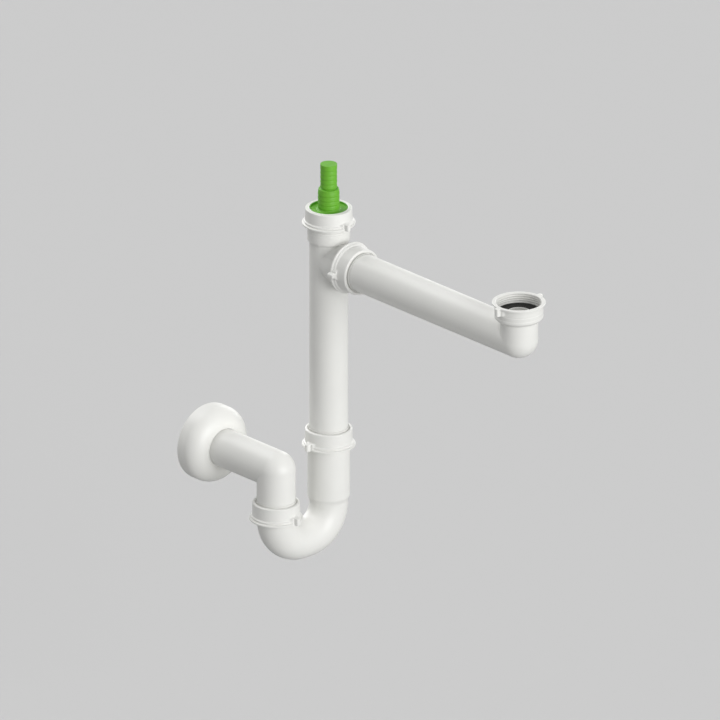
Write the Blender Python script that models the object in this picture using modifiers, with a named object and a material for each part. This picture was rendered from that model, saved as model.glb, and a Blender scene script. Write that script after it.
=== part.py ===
"""Space saving sink trap for a single sink: a long level arm that hangs from the sink outlet, a riser
with a side branch and a hose nozzle on top, a U shaped trap bend, and an outlet elbow that runs
through a rosette into the wall.

Frame: metres, +Z up, +Y towards the wall. The origin is on the axis of the sink outlet, on the flat
rim of the sink seal, where the waste of the sink presses on it.

Every tube joint is a compression joint: a union nut on a threaded socket squeezes a slip ring and a
wedge seal round a plain tube. The nuts of the three tube joints and of the nozzle share one form.
"""

import math

import bmesh
import bpy
from mathutils import Vector

MM = 0.001

# Facets round a turned or swept shape, and steps in a quarter bend and in a small rounding
SIDES = 24
BEND_STEPS = 6
ROUND_STEPS = 2

# Tube, and the gaps between pieces that slide, seat or turn on each other
TUBE_R = 20.0 * MM
TUBE_WALL = 1.8 * MM
SLIDE_GAP = 0.3 * MM
SEAT_GAP = 0.3 * MM
TURN_GAP = 0.4 * MM
END_CHAMFER = 0.8 * MM

# Socket of a compression joint, its thread and the cone in its mouth
SOCKET_WALL = 1.6 * MM
SOCKET_TAPER = 4.0 * MM
THREAD_HEIGHT = 0.6 * MM
THREAD_LENGTH = 12.0 * MM
MOUTH_WALL = 0.9 * MM
MOUTH_CONE = 7.0 * MM

# Union nut, with its rounded lip, flared flange and pair of grip lugs
NUT_HEIGHT = 18.4 * MM
TOP_NUT_HEIGHT = 16.2 * MM
NUT_WALL = 1.7 * MM
NUT_LIP = 3.0 * MM
NUT_ROUND = 2.2 * MM
FLANGE_PROUD = 3.1 * MM
FLANGE_THICK = 1.9 * MM
FLARE_HEIGHT = 2.6 * MM
LUG_REACH = 4.1 * MM
LUG_HEIGHT = 8.0 * MM
LUG_BASE_WIDTH = 9.0 * MM
LUG_TIP_WIDTH = 4.6 * MM
LUG_TIP_CHAMFER = 0.9 * MM

# Slip ring and wedge seal under the nut's lip
RING_THICK = 1.5 * MM
SEAL_RIM = 1.5 * MM
SEAL_WEDGE = 3.0 * MM
SEAL_SIDE_GAP = 0.25 * MM

# Sink joint: collar on the arm's stub, dished seal, and the nut that hangs under the collar
COLLAR_PROUD = 2.2 * MM
COLLAR_THICK = 2.6 * MM
SINK_SEAL_THICK = 3.6 * MM
SINK_SEAL_DISH = 2.7 * MM
SINK_SEAL_LAND = 2.4 * MM
SINK_SEAL_OVERHANG = 2.7 * MM
SINK_BORE_GAP = 0.6 * MM
SINK_NUT_WALL = 2.4 * MM
SINK_NUT_MOUTH = 10.5 * MM
SINK_NUT_LIP = 2.4 * MM
SINK_NUT_TAPER = 3.6 * MM
SINK_FLANGE_PROUD = 2.4 * MM
SINK_STUB = 10.5 * MM

# Arm, riser and its two branches: the branch from the riser's wall, the rest from the axes
ARM_REACH = 290.6 * MM
ARM_INSERTION = 19.0 * MM
BRANCH_REACH = 24.1 * MM
BRANCH_HUB = 2.0 * MM
BRANCH_ROOT_IN = 1.5 * MM
BRANCH_STOP_IN = 0.9 * MM
TOP_MOUTH = 48.0 * MM
TOP_SOCKET_PROUD = 1.5 * MM
TOP_SOCKET_END = 19.5 * MM
RISER_INSERTION = 36.0 * MM

# Trap bend: the riser can go deeper into its inlet socket by the socket's room
INLET_MOUTH_DROP = 193.6 * MM
SOCKET_ROOM = 31.0 * MM
SOCKET_TO_BEND = 6.7 * MM
OUTLET_LEG = 11.6 * MM
OUTLET_INSERTION = 9.6 * MM
OUTLET_TAPER = 1.6 * MM
U_INNER_R = 12.0 * MM
U_RUN = 8.3 * MM

# Outlet elbow, its leg above the outlet's mouth, and the wall
OUTLET_LEG_RUN = 22.3 * MM
OUTLET_REACH = 106.7 * MM
WALL_SPIGOT = 16.0 * MM
ROSETTE_PROUD = 21.2 * MM
ROSETTE_DEPTH = 27.5 * MM
ROSETTE_STRAIGHT = 11.0 * MM
ROSETTE_WALL = 1.8 * MM
ROSETTE_NECK_WALL = 2.2 * MM
ROSETTE_STEPS = 7

# Hose nozzle with a closed tip, and the flat seal under its flange
NOZZLE_SEAL_THICK = 2.5 * MM
NOZZLE_SEAL_WIDTH = 5.5 * MM
NOZZLE_FLANGE = 2.5 * MM
NOZZLE_DISC_GAP = 0.9 * MM
NOZZLE_DISC = 1.4 * MM
NOZZLE_HUB_PROUD = 1.5 * MM
NOZZLE_HUB = 1.6 * MM
NOZZLE_LOW_R = 11.2 * MM
NOZZLE_LOW = 20.0 * MM
NOZZLE_SHOULDER = 2.4 * MM
NOZZLE_HIGH_R = 8.7 * MM
NOZZLE_HIGH = 25.8 * MM
NOZZLE_WALL = 1.8 * MM
BARB_PITCH = 4.5 * MM
BARB_DEPTH = 0.4 * MM
BARB_LIP = 0.4 * MM

# How far a cutter runs past the face that it opens, the run of a step in a swept tube, and the
# distance within which points that meet are welded
OVERLAP = 4.0 * MM
STEP_RUN = 0.2 * MM
WELD = 0.001 * MM

# Radii that follow from the tube
BORE_R = TUBE_R - TUBE_WALL
U_BEND_R = TUBE_R + U_INNER_R
SOCKET_BORE_R = TUBE_R + SLIDE_GAP
SOCKET_R = SOCKET_BORE_R + SOCKET_WALL
THREAD_R = SOCKET_R + THREAD_HEIGHT
MOUTH_R = THREAD_R - MOUTH_WALL
NUT_BORE_R = THREAD_R + SLIDE_GAP
NUT_R = NUT_BORE_R + NUT_WALL
NUT_HOLE_R = TUBE_R + TURN_GAP
RING_R = NUT_BORE_R - TURN_GAP
COLLAR_R = TUBE_R + COLLAR_PROUD
SINK_NUT_BORE_R = COLLAR_R + SINK_BORE_GAP
SINK_NUT_R = SINK_NUT_BORE_R + SINK_NUT_WALL
ROSETTE_R = TUBE_R + ROSETTE_PROUD

# Heights and places that follow from the layout
ARM_DROP = TUBE_R + SINK_STUB
BRANCH_MOUTH = TUBE_R + BRANCH_REACH
INLET_SOCKET = RISER_INSERTION + SOCKET_ROOM
INLET_LEG = INLET_SOCKET + SOCKET_TO_BEND
OUTLET_RISE = TUBE_R + OUTLET_LEG_RUN
COLLAR_TOP = -SINK_SEAL_THICK - SEAT_GAP
SINK_NUT_LOW = COLLAR_TOP - COLLAR_THICK - SEAT_GAP - SINK_NUT_LIP
ARM_AXIS = Vector((0, 0, -ARM_DROP))
RISER = Vector((0, ARM_REACH, -ARM_DROP))
INLET = RISER + Vector((0, 0, -INLET_MOUTH_DROP))
LEG_SPACING = 2 * U_BEND_R + U_RUN
BEND_TOP = INLET.z - INLET_LEG
OUTLET = Vector((-LEG_SPACING, ARM_REACH, BEND_TOP + OUTLET_LEG))
ELBOW = OUTLET + Vector((0, 0, OUTLET_RISE))
WALL = ELBOW + Vector((0, OUTLET_REACH, 0))
NUT_SEAT = NUT_LIP + RING_THICK + SEAL_RIM + 3 * SEAT_GAP
NOZZLE_SEAT = NOZZLE_SEAL_THICK + 2 * SEAT_GAP
TOP_NUT_SEAT = NOZZLE_SEAT + NOZZLE_FLANGE + SEAT_GAP + NUT_LIP

DOWN = Vector((0, 0, -1))
UP = Vector((0, 0, 1))
TO_SINK = Vector((0, -1, 0))
TO_WALL = Vector((0, 1, 0))
TO_OUTLET = Vector((-1, 0, 0))
TO_INLET = Vector((1, 0, 0))
AXIS_UP = (0, 0, 0)
AXIS_DOWN = (math.radians(180), 0, 0)
AXIS_TO_SINK = (math.radians(90), 0, 0)
AXIS_TO_WALL = (math.radians(-90), 0, 0)
LUGS_ON_X = 0.0
LUGS_ON_Y = math.radians(90)

WHITE = (0.84, 0.84, 0.81)
GREEN = (0.13, 0.47, 0.04)
BLACK = (0.012, 0.012, 0.012)
NATURAL = (0.80, 0.80, 0.76)


def clear_scene():
    """Removes what the startup scene holds."""
    for obj in list(bpy.data.objects):
        bpy.data.objects.remove(obj)


def new_collection(name):
    """A collection under the scene."""
    made = bpy.data.collections.new(name)
    bpy.context.scene.collection.children.link(made)
    return made


def plastic(name, colour, roughness):
    """A Principled material of one colour."""
    made = bpy.data.materials.new(name)
    made.use_nodes = True
    shader = made.node_tree.nodes["Principled BSDF"]
    shader.inputs["Base Color"].default_value = (*colour, 1)
    shader.inputs["Roughness"].default_value = roughness
    shader.inputs["Metallic"].default_value = 0
    return made


def place(obj, collections, material):
    """Puts a piece with its material in the parts, and a helper without one in the cutters."""
    if material:
        collections["parts"].objects.link(obj)
        obj.data.materials.append(material)
    else:
        collections["cutters"].objects.link(obj)
        obj.hide_render = True
        obj.display_type = "WIRE"
    return obj


def turned(name, outline, at, turn, collections, material=None):
    """A solid of revolution: an outline of (radius, height) down its outer side, and back if hollow."""
    points = [(radius, 0, height) for radius, height in outline]
    edges = [(i, i + 1) for i in range(len(points) - 1)]
    if outline[0][0] > 0:
        edges.append((len(points) - 1, 0))
    mesh = bpy.data.meshes.new(name)
    mesh.from_pydata(points, edges, [])
    obj = bpy.data.objects.new(name, mesh)
    obj.location = at
    obj.rotation_euler = turn
    screw = obj.modifiers.new("turn", "SCREW")
    screw.axis = "Z"
    screw.steps = SIDES
    screw.render_steps = SIDES
    screw.use_merge_vertices = True
    screw.merge_threshold = WELD
    screw.use_smooth_shade = False
    return place(obj, collections, material)


def swept(name, stations, origin, collections, material=None):
    """A round bar along a path of (point, radius) stations, as a mesh with welded caps."""
    curve = bpy.data.curves.new(name, "CURVE")
    curve.dimensions = "3D"
    curve.bevel_depth = TUBE_R
    curve.bevel_resolution = (SIDES - 4) // 2
    curve.use_fill_caps = True
    spline = curve.splines.new("POLY")
    spline.points.add(len(stations) - 1)
    for spot, (point, radius) in zip(spline.points, stations):
        spot.co = (*(point - origin), 1)
        spot.radius = radius / TUBE_R
    guide = bpy.data.objects.new(name + "_path", curve)
    bpy.context.scene.collection.objects.link(guide)
    graph = bpy.context.evaluated_depsgraph_get()
    mesh = bpy.data.meshes.new_from_object(guide.evaluated_get(graph))
    bpy.data.objects.remove(guide)
    work = bmesh.new()
    work.from_mesh(mesh)
    bmesh.ops.remove_doubles(work, verts=work.verts, dist=WELD)
    bmesh.ops.recalc_face_normals(work, faces=work.faces)
    work.to_mesh(mesh)
    work.free()
    mesh.materials.clear()
    obj = bpy.data.objects.new(name, mesh)
    obj.location = origin
    return place(obj, collections, material)


def quarter_bend(centre, start, end, radius, tube_radius):
    """Stations of a quarter bend about centre, from the direction start to the direction end."""
    angles = [math.pi / 2 * step / BEND_STEPS for step in range(BEND_STEPS + 1)]
    arms = [math.cos(angle) * start + math.sin(angle) * end for angle in angles]
    return [(centre + radius * arm, tube_radius) for arm in arms]


def quarter_arc(start, end, steps):
    """Outline points of a quarter ellipse that leaves start along the axis and meets end square to it."""
    (start_r, start_z), (end_r, end_z) = start, end
    angles = [math.pi / 2 * step / steps for step in range(steps + 1)]
    return [
        (end_r + (start_r - end_r) * math.cos(angle), start_z + (end_z - start_z) * math.sin(angle))
        for angle in angles
    ]


def ball_end(radius):
    """Outline points of the half ball that closes a leg at its corner, at height 0."""
    return list(reversed(quarter_arc((radius, 0), (0, -radius), BEND_STEPS)))


def mitred(name, legs, corner, collections, material=None):
    """A round bar with a tight corner, from two legs of (outline, turn, heading) with ball ends.

    Each leg is turned about its own axis, and cut where the plane halfway between the two meets it,
    and the halves are welded.
    """
    headings = [heading for _, _, heading in legs]
    work = bmesh.new()
    for (outline, turn, heading), other in zip(legs, reversed(headings)):
        leg = turned(name + "_leg", outline, corner, turn, collections)
        bpy.context.view_layer.update()
        graph = bpy.context.evaluated_depsgraph_get()
        mesh = bpy.data.meshes.new_from_object(leg.evaluated_get(graph))
        mesh.transform(leg.rotation_euler.to_matrix().to_4x4())
        bpy.data.objects.remove(leg)
        half = bmesh.new()
        half.from_mesh(mesh)
        everything = half.verts[:] + half.edges[:] + half.faces[:]
        bmesh.ops.bisect_plane(
            half, geom=everything, dist=WELD, plane_co=(0, 0, 0), plane_no=other - heading,
            clear_outer=True,
        )
        half.to_mesh(mesh)
        half.free()
        work.from_mesh(mesh)
        bpy.data.meshes.remove(mesh)
    bmesh.ops.remove_doubles(work, verts=work.verts, dist=2 * WELD)
    bmesh.ops.recalc_face_normals(work, faces=work.faces)
    mesh = bpy.data.meshes.new(name)
    work.to_mesh(mesh)
    work.free()
    obj = bpy.data.objects.new(name, mesh)
    obj.location = corner
    return place(obj, collections, material)


def run_out(stations):
    """The same stations, with both ends carried on past the faces that they open."""
    (first, first_r), (second, _) = stations[:2]
    (last_but_one, _), (last, last_r) = stations[-2:]
    before = first + (first - second).normalized() * OVERLAP
    after = last + (last - last_but_one).normalized() * OVERLAP
    return [(before, first_r), *stations, (after, last_r)]


def combine(obj, other, operation):
    """Adds a Boolean with a helper object."""
    step = obj.modifiers.new(other.name, "BOOLEAN")
    step.operation = operation
    step.object = other
    step.solver = "EXACT"


def socket_bore(depth, stop_r, reach):
    """Inside of a socket: a cone in its mouth at height 0, the tube's seat, and a hole past the stop."""
    return [
        (0, OVERLAP),
        (MOUTH_R, OVERLAP),
        (MOUTH_R, 0),
        (SOCKET_BORE_R, -MOUTH_CONE),
        (SOCKET_BORE_R, -depth),
        (stop_r, -depth),
        (stop_r, -reach),
        (0, -reach),
    ]


def lug_bar(name, flange_r, low, angle, at, turn, collections):
    """A bar across a nut from lug tip to lug tip, with tapered, blunted ends."""
    tip = flange_r + LUG_REACH
    half_base = LUG_BASE_WIDTH / 2
    half_tip = LUG_TIP_WIDTH / 2
    blunt = half_tip - LUG_TIP_CHAMFER
    quarter = [(flange_r, half_base), (tip - LUG_TIP_CHAMFER, half_tip), (tip, blunt)]
    upper = [(-x, y) for x, y in reversed(quarter)] + quarter
    outline = upper + [(-x, -y) for x, y in upper]
    curve = bpy.data.curves.new(name, "CURVE")
    curve.dimensions = "2D"
    curve.fill_mode = "BOTH"
    curve.extrude = LUG_HEIGHT / 2
    spline = curve.splines.new("POLY")
    spline.points.add(len(outline) - 1)
    for spot, (x, y) in zip(spline.points, outline):
        spot.co = (x, y, 0, 1)
    spline.use_cyclic_u = True
    guide = bpy.data.objects.new(name + "_outline", curve)
    bpy.context.scene.collection.objects.link(guide)
    graph = bpy.context.evaluated_depsgraph_get()
    mesh = bpy.data.meshes.new_from_object(guide.evaluated_get(graph))
    bpy.data.objects.remove(guide)
    work = bmesh.new()
    work.from_mesh(mesh)
    bmesh.ops.remove_doubles(work, verts=work.verts, dist=WELD)
    cos, sin = math.cos(angle), math.sin(angle)
    for vert in work.verts:
        x, y, z = vert.co
        vert.co = (x * cos - y * sin, x * sin + y * cos, z + low + LUG_HEIGHT / 2)
    bmesh.ops.recalc_face_normals(work, faces=work.faces)
    work.to_mesh(mesh)
    work.free()
    mesh.materials.clear()
    obj = bpy.data.objects.new(name, mesh)
    obj.location = at
    obj.rotation_euler = turn
    return place(obj, collections, None)


def union_nut(name, height, seat, lugs, at, turn, collections, material):
    """A nut whose threaded bore opens at its flange, and whose lip, at the top, holds the joint."""
    top = seat
    low = top - height
    flange_r = NUT_R + FLANGE_PROUD
    rim = low + FLANGE_THICK
    lip_edge = quarter_arc((NUT_R, top - NUT_ROUND), (NUT_R - NUT_ROUND, top), ROUND_STEPS)
    flare = quarter_arc((NUT_R, rim + FLARE_HEIGHT), (flange_r, rim), ROUND_STEPS)
    outline = [(0, top), *reversed(lip_edge), *flare, (flange_r, low), (0, low)]
    bore = [
        (0, top + OVERLAP),
        (NUT_HOLE_R, top + OVERLAP),
        (NUT_HOLE_R, top - NUT_LIP),
        (NUT_BORE_R, top - NUT_LIP),
        (NUT_BORE_R, low - OVERLAP),
        (0, low - OVERLAP),
    ]
    nut = turned(name, outline, at, turn, collections, material)
    bar = lug_bar(name + "_lugs", flange_r, low, lugs, at, turn, collections)
    combine(nut, bar, "UNION")
    combine(nut, turned(name + "_bore", bore, at, turn, collections), "DIFFERENCE")
    return nut


def slip_ring(name, at, turn, collections, material):
    """The thin ring between the nut's lip and the wedge seal, above a socket's mouth."""
    low = SEAL_RIM + 2 * SEAT_GAP
    high = low + RING_THICK
    outline = [(RING_R, high), (RING_R, low), (SOCKET_BORE_R, low), (SOCKET_BORE_R, high)]
    return turned(name, outline, at, turn, collections, material)


def wedge_seal(name, at, turn, collections, material):
    """The seal that is pressed into the socket's cone and against the tube."""
    low = SEAT_GAP
    high = low + SEAL_RIM
    cone_slope = (MOUTH_R - SOCKET_BORE_R) / MOUTH_CONE
    wedge_r = MOUTH_R - SEAL_SIDE_GAP
    outline = [
        (RING_R, high),
        (RING_R, low),
        (wedge_r, low),
        (wedge_r - cone_slope * SEAL_WEDGE, -SEAL_WEDGE),
        (SOCKET_BORE_R, -SEAL_WEDGE),
        (SOCKET_BORE_R, high),
    ]
    return turned(name, outline, at, turn, collections, material)


def compression_joint(prefix, lugs, at, turn, collections, materials):
    """Nut, slip ring and wedge seal on the socket whose mouth is at the given place."""
    white, natural, rubber = materials["white"], materials["natural"], materials["rubber"]
    union_nut(prefix + "_nut", NUT_HEIGHT, NUT_SEAT, lugs, at, turn, collections, white)
    slip_ring(prefix + "_slip_ring", at, turn, collections, natural)
    wedge_seal(prefix + "_wedge_seal", at, turn, collections, rubber)


def sink_arm(collections, material):
    """The stub with its collar, the tight corner and the long level tube, one moulding."""
    collar_top = COLLAR_TOP + ARM_DROP
    stub_foot = collar_top - COLLAR_THICK
    reach = ARM_REACH - BRANCH_MOUTH + ARM_INSERTION
    stub = [
        *ball_end(TUBE_R),
        (TUBE_R, stub_foot - STEP_RUN),
        (COLLAR_R, stub_foot),
        (COLLAR_R, collar_top),
        (0, collar_top),
    ]
    tube = [
        *ball_end(TUBE_R),
        (TUBE_R, reach - END_CHAMFER),
        (TUBE_R - END_CHAMFER, reach),
        (0, reach),
    ]
    arm = mitred(
        "sink_arm", [(stub, AXIS_UP, UP), (tube, AXIS_TO_WALL, TO_WALL)], ARM_AXIS, collections,
        material,
    )
    stub_bore = [*ball_end(BORE_R), (BORE_R, collar_top + OVERLAP), (0, collar_top + OVERLAP)]
    tube_bore = [*ball_end(BORE_R), (BORE_R, reach + OVERLAP), (0, reach + OVERLAP)]
    bore = mitred(
        "sink_arm_bore", [(stub_bore, AXIS_UP, UP), (tube_bore, AXIS_TO_WALL, TO_WALL)], ARM_AXIS,
        collections,
    )
    combine(arm, bore, "DIFFERENCE")
    return arm


def sink_nut(collections, material):
    """The nut for the sink's waste: flange and thread at the top, lip under the arm's collar."""
    flange_r = SINK_NUT_R + SINK_FLANGE_PROUD
    top = SINK_NUT_MOUTH
    rim = top - FLANGE_THICK
    taper_top = (SINK_NUT_R, SINK_NUT_LOW + SINK_NUT_TAPER)
    flare = quarter_arc((SINK_NUT_R, rim - FLARE_HEIGHT), (flange_r, rim), ROUND_STEPS)
    foot = quarter_arc(taper_top, (SINK_NUT_R - SINK_NUT_TAPER, SINK_NUT_LOW), ROUND_STEPS)
    outline = [(0, top), (flange_r, top), *reversed(flare), *foot, (0, SINK_NUT_LOW)]
    lip_top = SINK_NUT_LOW + SINK_NUT_LIP
    bore = [
        (0, top + OVERLAP),
        (SINK_NUT_BORE_R, top + OVERLAP),
        (SINK_NUT_BORE_R, lip_top),
        (NUT_HOLE_R, lip_top),
        (NUT_HOLE_R, SINK_NUT_LOW - OVERLAP),
        (0, SINK_NUT_LOW - OVERLAP),
    ]
    at = (0, 0, 0)
    nut = turned("sink_nut", outline, at, AXIS_UP, collections, material)
    low = top - LUG_HEIGHT
    bar = lug_bar("sink_nut_lugs", flange_r, low, LUGS_ON_X, at, AXIS_UP, collections)
    combine(nut, bar, "UNION")
    combine(nut, turned("sink_nut_bore", bore, at, AXIS_UP, collections), "DIFFERENCE")
    return nut


def sink_seal(collections, material):
    """The dished seal on the arm's collar: a flat rim, then a cone down to its hole."""
    hole_r = BORE_R - SINK_SEAL_OVERHANG
    outline = [
        (COLLAR_R, 0),
        (COLLAR_R, -SINK_SEAL_THICK),
        (hole_r, -SINK_SEAL_THICK),
        (hole_r, -SINK_SEAL_DISH),
        (COLLAR_R - SINK_SEAL_LAND, 0),
    ]
    return turned("sink_seal", outline, (0, 0, 0), AXIS_UP, collections, material)


def riser_tee(collections, material):
    """The upright tube with its threaded top and its side socket for the arm, one moulding."""
    foot = -INLET_MOUTH_DROP - RISER_INSERTION
    top_r = TUBE_R + TOP_SOCKET_PROUD
    upright = [
        (0, TOP_MOUTH),
        (THREAD_R, TOP_MOUTH),
        (THREAD_R, TOP_MOUTH - THREAD_LENGTH),
        (top_r, TOP_MOUTH - THREAD_LENGTH - THREAD_HEIGHT),
        (top_r, TOP_SOCKET_END),
        (TUBE_R, TOP_SOCKET_END - TOP_SOCKET_PROUD),
        (TUBE_R, foot + END_CHAMFER),
        (TUBE_R - END_CHAMFER, foot),
        (0, foot),
    ]
    branch = [
        (0, BRANCH_MOUTH),
        (THREAD_R, BRANCH_MOUTH),
        (THREAD_R, BRANCH_MOUTH - THREAD_LENGTH),
        (SOCKET_R, BRANCH_MOUTH - THREAD_LENGTH - THREAD_HEIGHT),
        (SOCKET_R, TUBE_R + BRANCH_HUB),
        (TUBE_R - BRANCH_ROOT_IN, 0),
        (0, 0),
    ]
    tee = turned("riser_tee", upright, RISER, AXIS_UP, collections, material)
    side = turned("riser_branch", branch, RISER, AXIS_TO_SINK, collections)
    combine(tee, side, "UNION")
    high, low = TOP_MOUTH + OVERLAP, foot - OVERLAP
    bore = [(0, high), (BORE_R, high), (BORE_R, low), (0, low)]
    combine(tee, turned("riser_bore", bore, RISER, AXIS_UP, collections), "DIFFERENCE")
    mouth = RISER + TO_SINK * BRANCH_MOUTH
    seat = socket_bore(ARM_INSERTION + SEAT_GAP, BORE_R - BRANCH_STOP_IN, BRANCH_MOUTH)
    combine(tee, turned("branch_bore", seat, mouth, AXIS_TO_SINK, collections), "DIFFERENCE")
    return tee


def nozzle_seal(collections, material):
    """The flat seal between the riser's top rim and the nozzle's flange."""
    low = SEAT_GAP
    high = low + NOZZLE_SEAL_THICK
    hole_r = RING_R - NOZZLE_SEAL_WIDTH
    outline = [(RING_R, high), (RING_R, low), (hole_r, low), (hole_r, high)]
    at = RISER + UP * TOP_MOUTH
    return turned("nozzle_seal", outline, at, AXIS_UP, collections, material)


def barbs(radius, foot, length):
    """Outline of a barbed stretch, from its top down: each barb flares downwards, then steps in."""
    count = max(1, round(length / BARB_PITCH))
    pitch = length / count
    points = []
    for barb in reversed(range(count)):
        low = foot + barb * pitch
        points.append((radius - BARB_DEPTH, low + pitch))
        points.append((radius, low + BARB_LIP))
    return points + [(radius - BARB_DEPTH, foot)]


def hose_nozzle(collections, material):
    """The stepped, barbed nozzle with a closed tip, on a flange that the top nut holds down."""
    disc_r = NUT_HOLE_R - NOZZLE_DISC_GAP
    hub_r = NOZZLE_LOW_R + NOZZLE_HUB_PROUD
    flange_top = NOZZLE_SEAT + NOZZLE_FLANGE
    disc_top = flange_top + NOZZLE_DISC
    low_foot = disc_top + NOZZLE_HUB
    high_foot = low_foot + NOZZLE_LOW + NOZZLE_SHOULDER
    tip = high_foot + NOZZLE_HIGH
    outline = [
        (0, tip),
        *barbs(NOZZLE_HIGH_R, high_foot, NOZZLE_HIGH),
        *barbs(NOZZLE_LOW_R, low_foot, NOZZLE_LOW),
        (hub_r, disc_top),
        (disc_r, disc_top),
        (disc_r, flange_top),
        (RING_R, flange_top),
        (RING_R, NOZZLE_SEAT),
        (0, NOZZLE_SEAT),
    ]
    low_bore = NOZZLE_LOW_R - BARB_DEPTH - NOZZLE_WALL
    high_bore = NOZZLE_HIGH_R - BARB_DEPTH - NOZZLE_WALL
    bore = [
        (0, tip - NOZZLE_WALL),
        (high_bore, tip - NOZZLE_WALL),
        (high_bore, high_foot),
        (low_bore, high_foot - NOZZLE_SHOULDER - NOZZLE_WALL),
        (low_bore, NOZZLE_SEAT - OVERLAP),
        (0, NOZZLE_SEAT - OVERLAP),
    ]
    at = RISER + UP * TOP_MOUTH
    nozzle = turned("hose_nozzle", outline, at, AXIS_UP, collections, material)
    combine(nozzle, turned("hose_nozzle_bore", bore, at, AXIS_UP, collections), "DIFFERENCE")
    return nozzle


def trap_bend(collections, material):
    """The U bend with its long inlet socket and short outlet socket, one moulding."""
    inlet_top = Vector((0, ARM_REACH, BEND_TOP))
    outlet_top = Vector((-LEG_SPACING, ARM_REACH, BEND_TOP))
    first = inlet_top + TO_OUTLET * U_BEND_R
    second = outlet_top + TO_INLET * U_BEND_R
    socket_foot = INLET + DOWN * INLET_SOCKET
    outer = [
        (INLET, THREAD_R),
        (INLET + DOWN * THREAD_LENGTH, THREAD_R),
        (INLET + DOWN * (THREAD_LENGTH + THREAD_HEIGHT), SOCKET_R),
        (socket_foot, SOCKET_R),
        (socket_foot + DOWN * SOCKET_TAPER, TUBE_R),
        *quarter_bend(first, TO_INLET, DOWN, U_BEND_R, TUBE_R),
        *quarter_bend(second, DOWN, TO_OUTLET, U_BEND_R, TUBE_R),
        (outlet_top + UP * OUTLET_TAPER, SOCKET_R),
        (outlet_top + UP * (OUTLET_TAPER + THREAD_HEIGHT), THREAD_R),
        (OUTLET, THREAD_R),
    ]
    inlet_seat = INLET + DOWN * (INLET_SOCKET - SOCKET_TAPER)
    outlet_seat = OUTLET + DOWN * (OUTLET_INSERTION + SEAT_GAP)
    inner = [
        (INLET, MOUTH_R),
        (INLET + DOWN * MOUTH_CONE, SOCKET_BORE_R),
        (inlet_seat, SOCKET_BORE_R),
        (inlet_seat + DOWN * STEP_RUN, BORE_R),
        *quarter_bend(first, TO_INLET, DOWN, U_BEND_R, BORE_R),
        *quarter_bend(second, DOWN, TO_OUTLET, U_BEND_R, BORE_R),
        (outlet_seat + DOWN * STEP_RUN, BORE_R),
        (outlet_seat, SOCKET_BORE_R),
        (OUTLET + DOWN * MOUTH_CONE, SOCKET_BORE_R),
        (OUTLET, MOUTH_R),
    ]
    bend = swept("trap_bend", outer, INLET, collections, material)
    combine(bend, swept("trap_bend_bore", run_out(inner), INLET, collections), "DIFFERENCE")
    return bend


def outlet_elbow(collections, material):
    """The plain leg, the tight corner and the level run through the wall, one moulding."""
    leg = OUTLET_RISE + OUTLET_INSERTION
    reach = OUTLET_REACH + WALL_SPIGOT
    runs = ((leg, AXIS_DOWN, DOWN), (reach, AXIS_TO_WALL, TO_WALL))
    outer = [
        (
            [
                *ball_end(TUBE_R),
                (TUBE_R, length - END_CHAMFER),
                (TUBE_R - END_CHAMFER, length),
                (0, length),
            ],
            turn,
            heading,
        )
        for length, turn, heading in runs
    ]
    inner = [
        ([*ball_end(BORE_R), (BORE_R, length + OVERLAP), (0, length + OVERLAP)], turn, heading)
        for length, turn, heading in runs
    ]
    elbow = mitred("outlet_elbow", outer, ELBOW, collections, material)
    combine(elbow, mitred("outlet_elbow_bore", inner, ELBOW, collections), "DIFFERENCE")
    return elbow


def wall_rosette(collections, material):
    """The rounded cup over the hole in the wall, with its rim on the wall plane."""
    hole_r = TUBE_R + SLIDE_GAP
    neck_r = hole_r + ROSETTE_NECK_WALL
    inner_r = ROSETTE_R - ROSETTE_WALL
    neck = (neck_r, -ROSETTE_DEPTH)
    inner_neck = (hole_r, ROSETTE_WALL - ROSETTE_DEPTH)
    outer = quarter_arc((ROSETTE_R, -ROSETTE_STRAIGHT), neck, ROSETTE_STEPS)
    inner = quarter_arc((inner_r, -ROSETTE_STRAIGHT), inner_neck, ROSETTE_STEPS)
    outline = [(ROSETTE_R, 0), *outer, (hole_r, -ROSETTE_DEPTH), *reversed(inner), (inner_r, 0)]
    return turned("wall_rosette", outline, WALL, AXIS_TO_WALL, collections, material)


def build():
    """Makes every piece of the trap."""
    clear_scene()
    collections = {
        "parts": new_collection("space_saving_sink_trap"),
        "cutters": new_collection("cutters"),
    }
    materials = {
        "white": plastic("white_plastic", WHITE, 0.25),
        "green": plastic("green_plastic", GREEN, 0.3),
        "rubber": plastic("black_rubber", BLACK, 0.55),
        "natural": plastic("natural_plastic", NATURAL, 0.4),
    }
    white = materials["white"]
    sink_arm(collections, white)
    sink_nut(collections, white)
    sink_seal(collections, materials["rubber"])
    riser_tee(collections, white)
    branch = RISER + TO_SINK * BRANCH_MOUTH
    compression_joint("branch", LUGS_ON_X, branch, AXIS_TO_SINK, collections, materials)
    nozzle_seal(collections, materials["rubber"])
    hose_nozzle(collections, materials["green"])
    top = RISER + UP * TOP_MOUTH
    union_nut(
        "appliance_nut", TOP_NUT_HEIGHT, TOP_NUT_SEAT, LUGS_ON_Y, top, AXIS_UP, collections, white
    )
    trap_bend(collections, white)
    compression_joint("inlet", LUGS_ON_X, INLET, AXIS_UP, collections, materials)
    compression_joint("outlet", LUGS_ON_Y, OUTLET, AXIS_UP, collections, materials)
    outlet_elbow(collections, white)
    wall_rosette(collections, white)


build()
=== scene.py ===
"""Dresses the space saving sink trap for rendering: smooth skins, moulded plastics, floor and lamps.

Frame: +Z up, +Y towards the wall, the origin on the axis of the sink outlet, where the waste of the
sink presses on the seal. Every piece is a skin worked out with numpy: an outline of (radius, length)
points is carried along the route of its tube and turned round it. Places and sizes are worked out
in millimetres, and new_mesh turns them into metres.
"""

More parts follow.
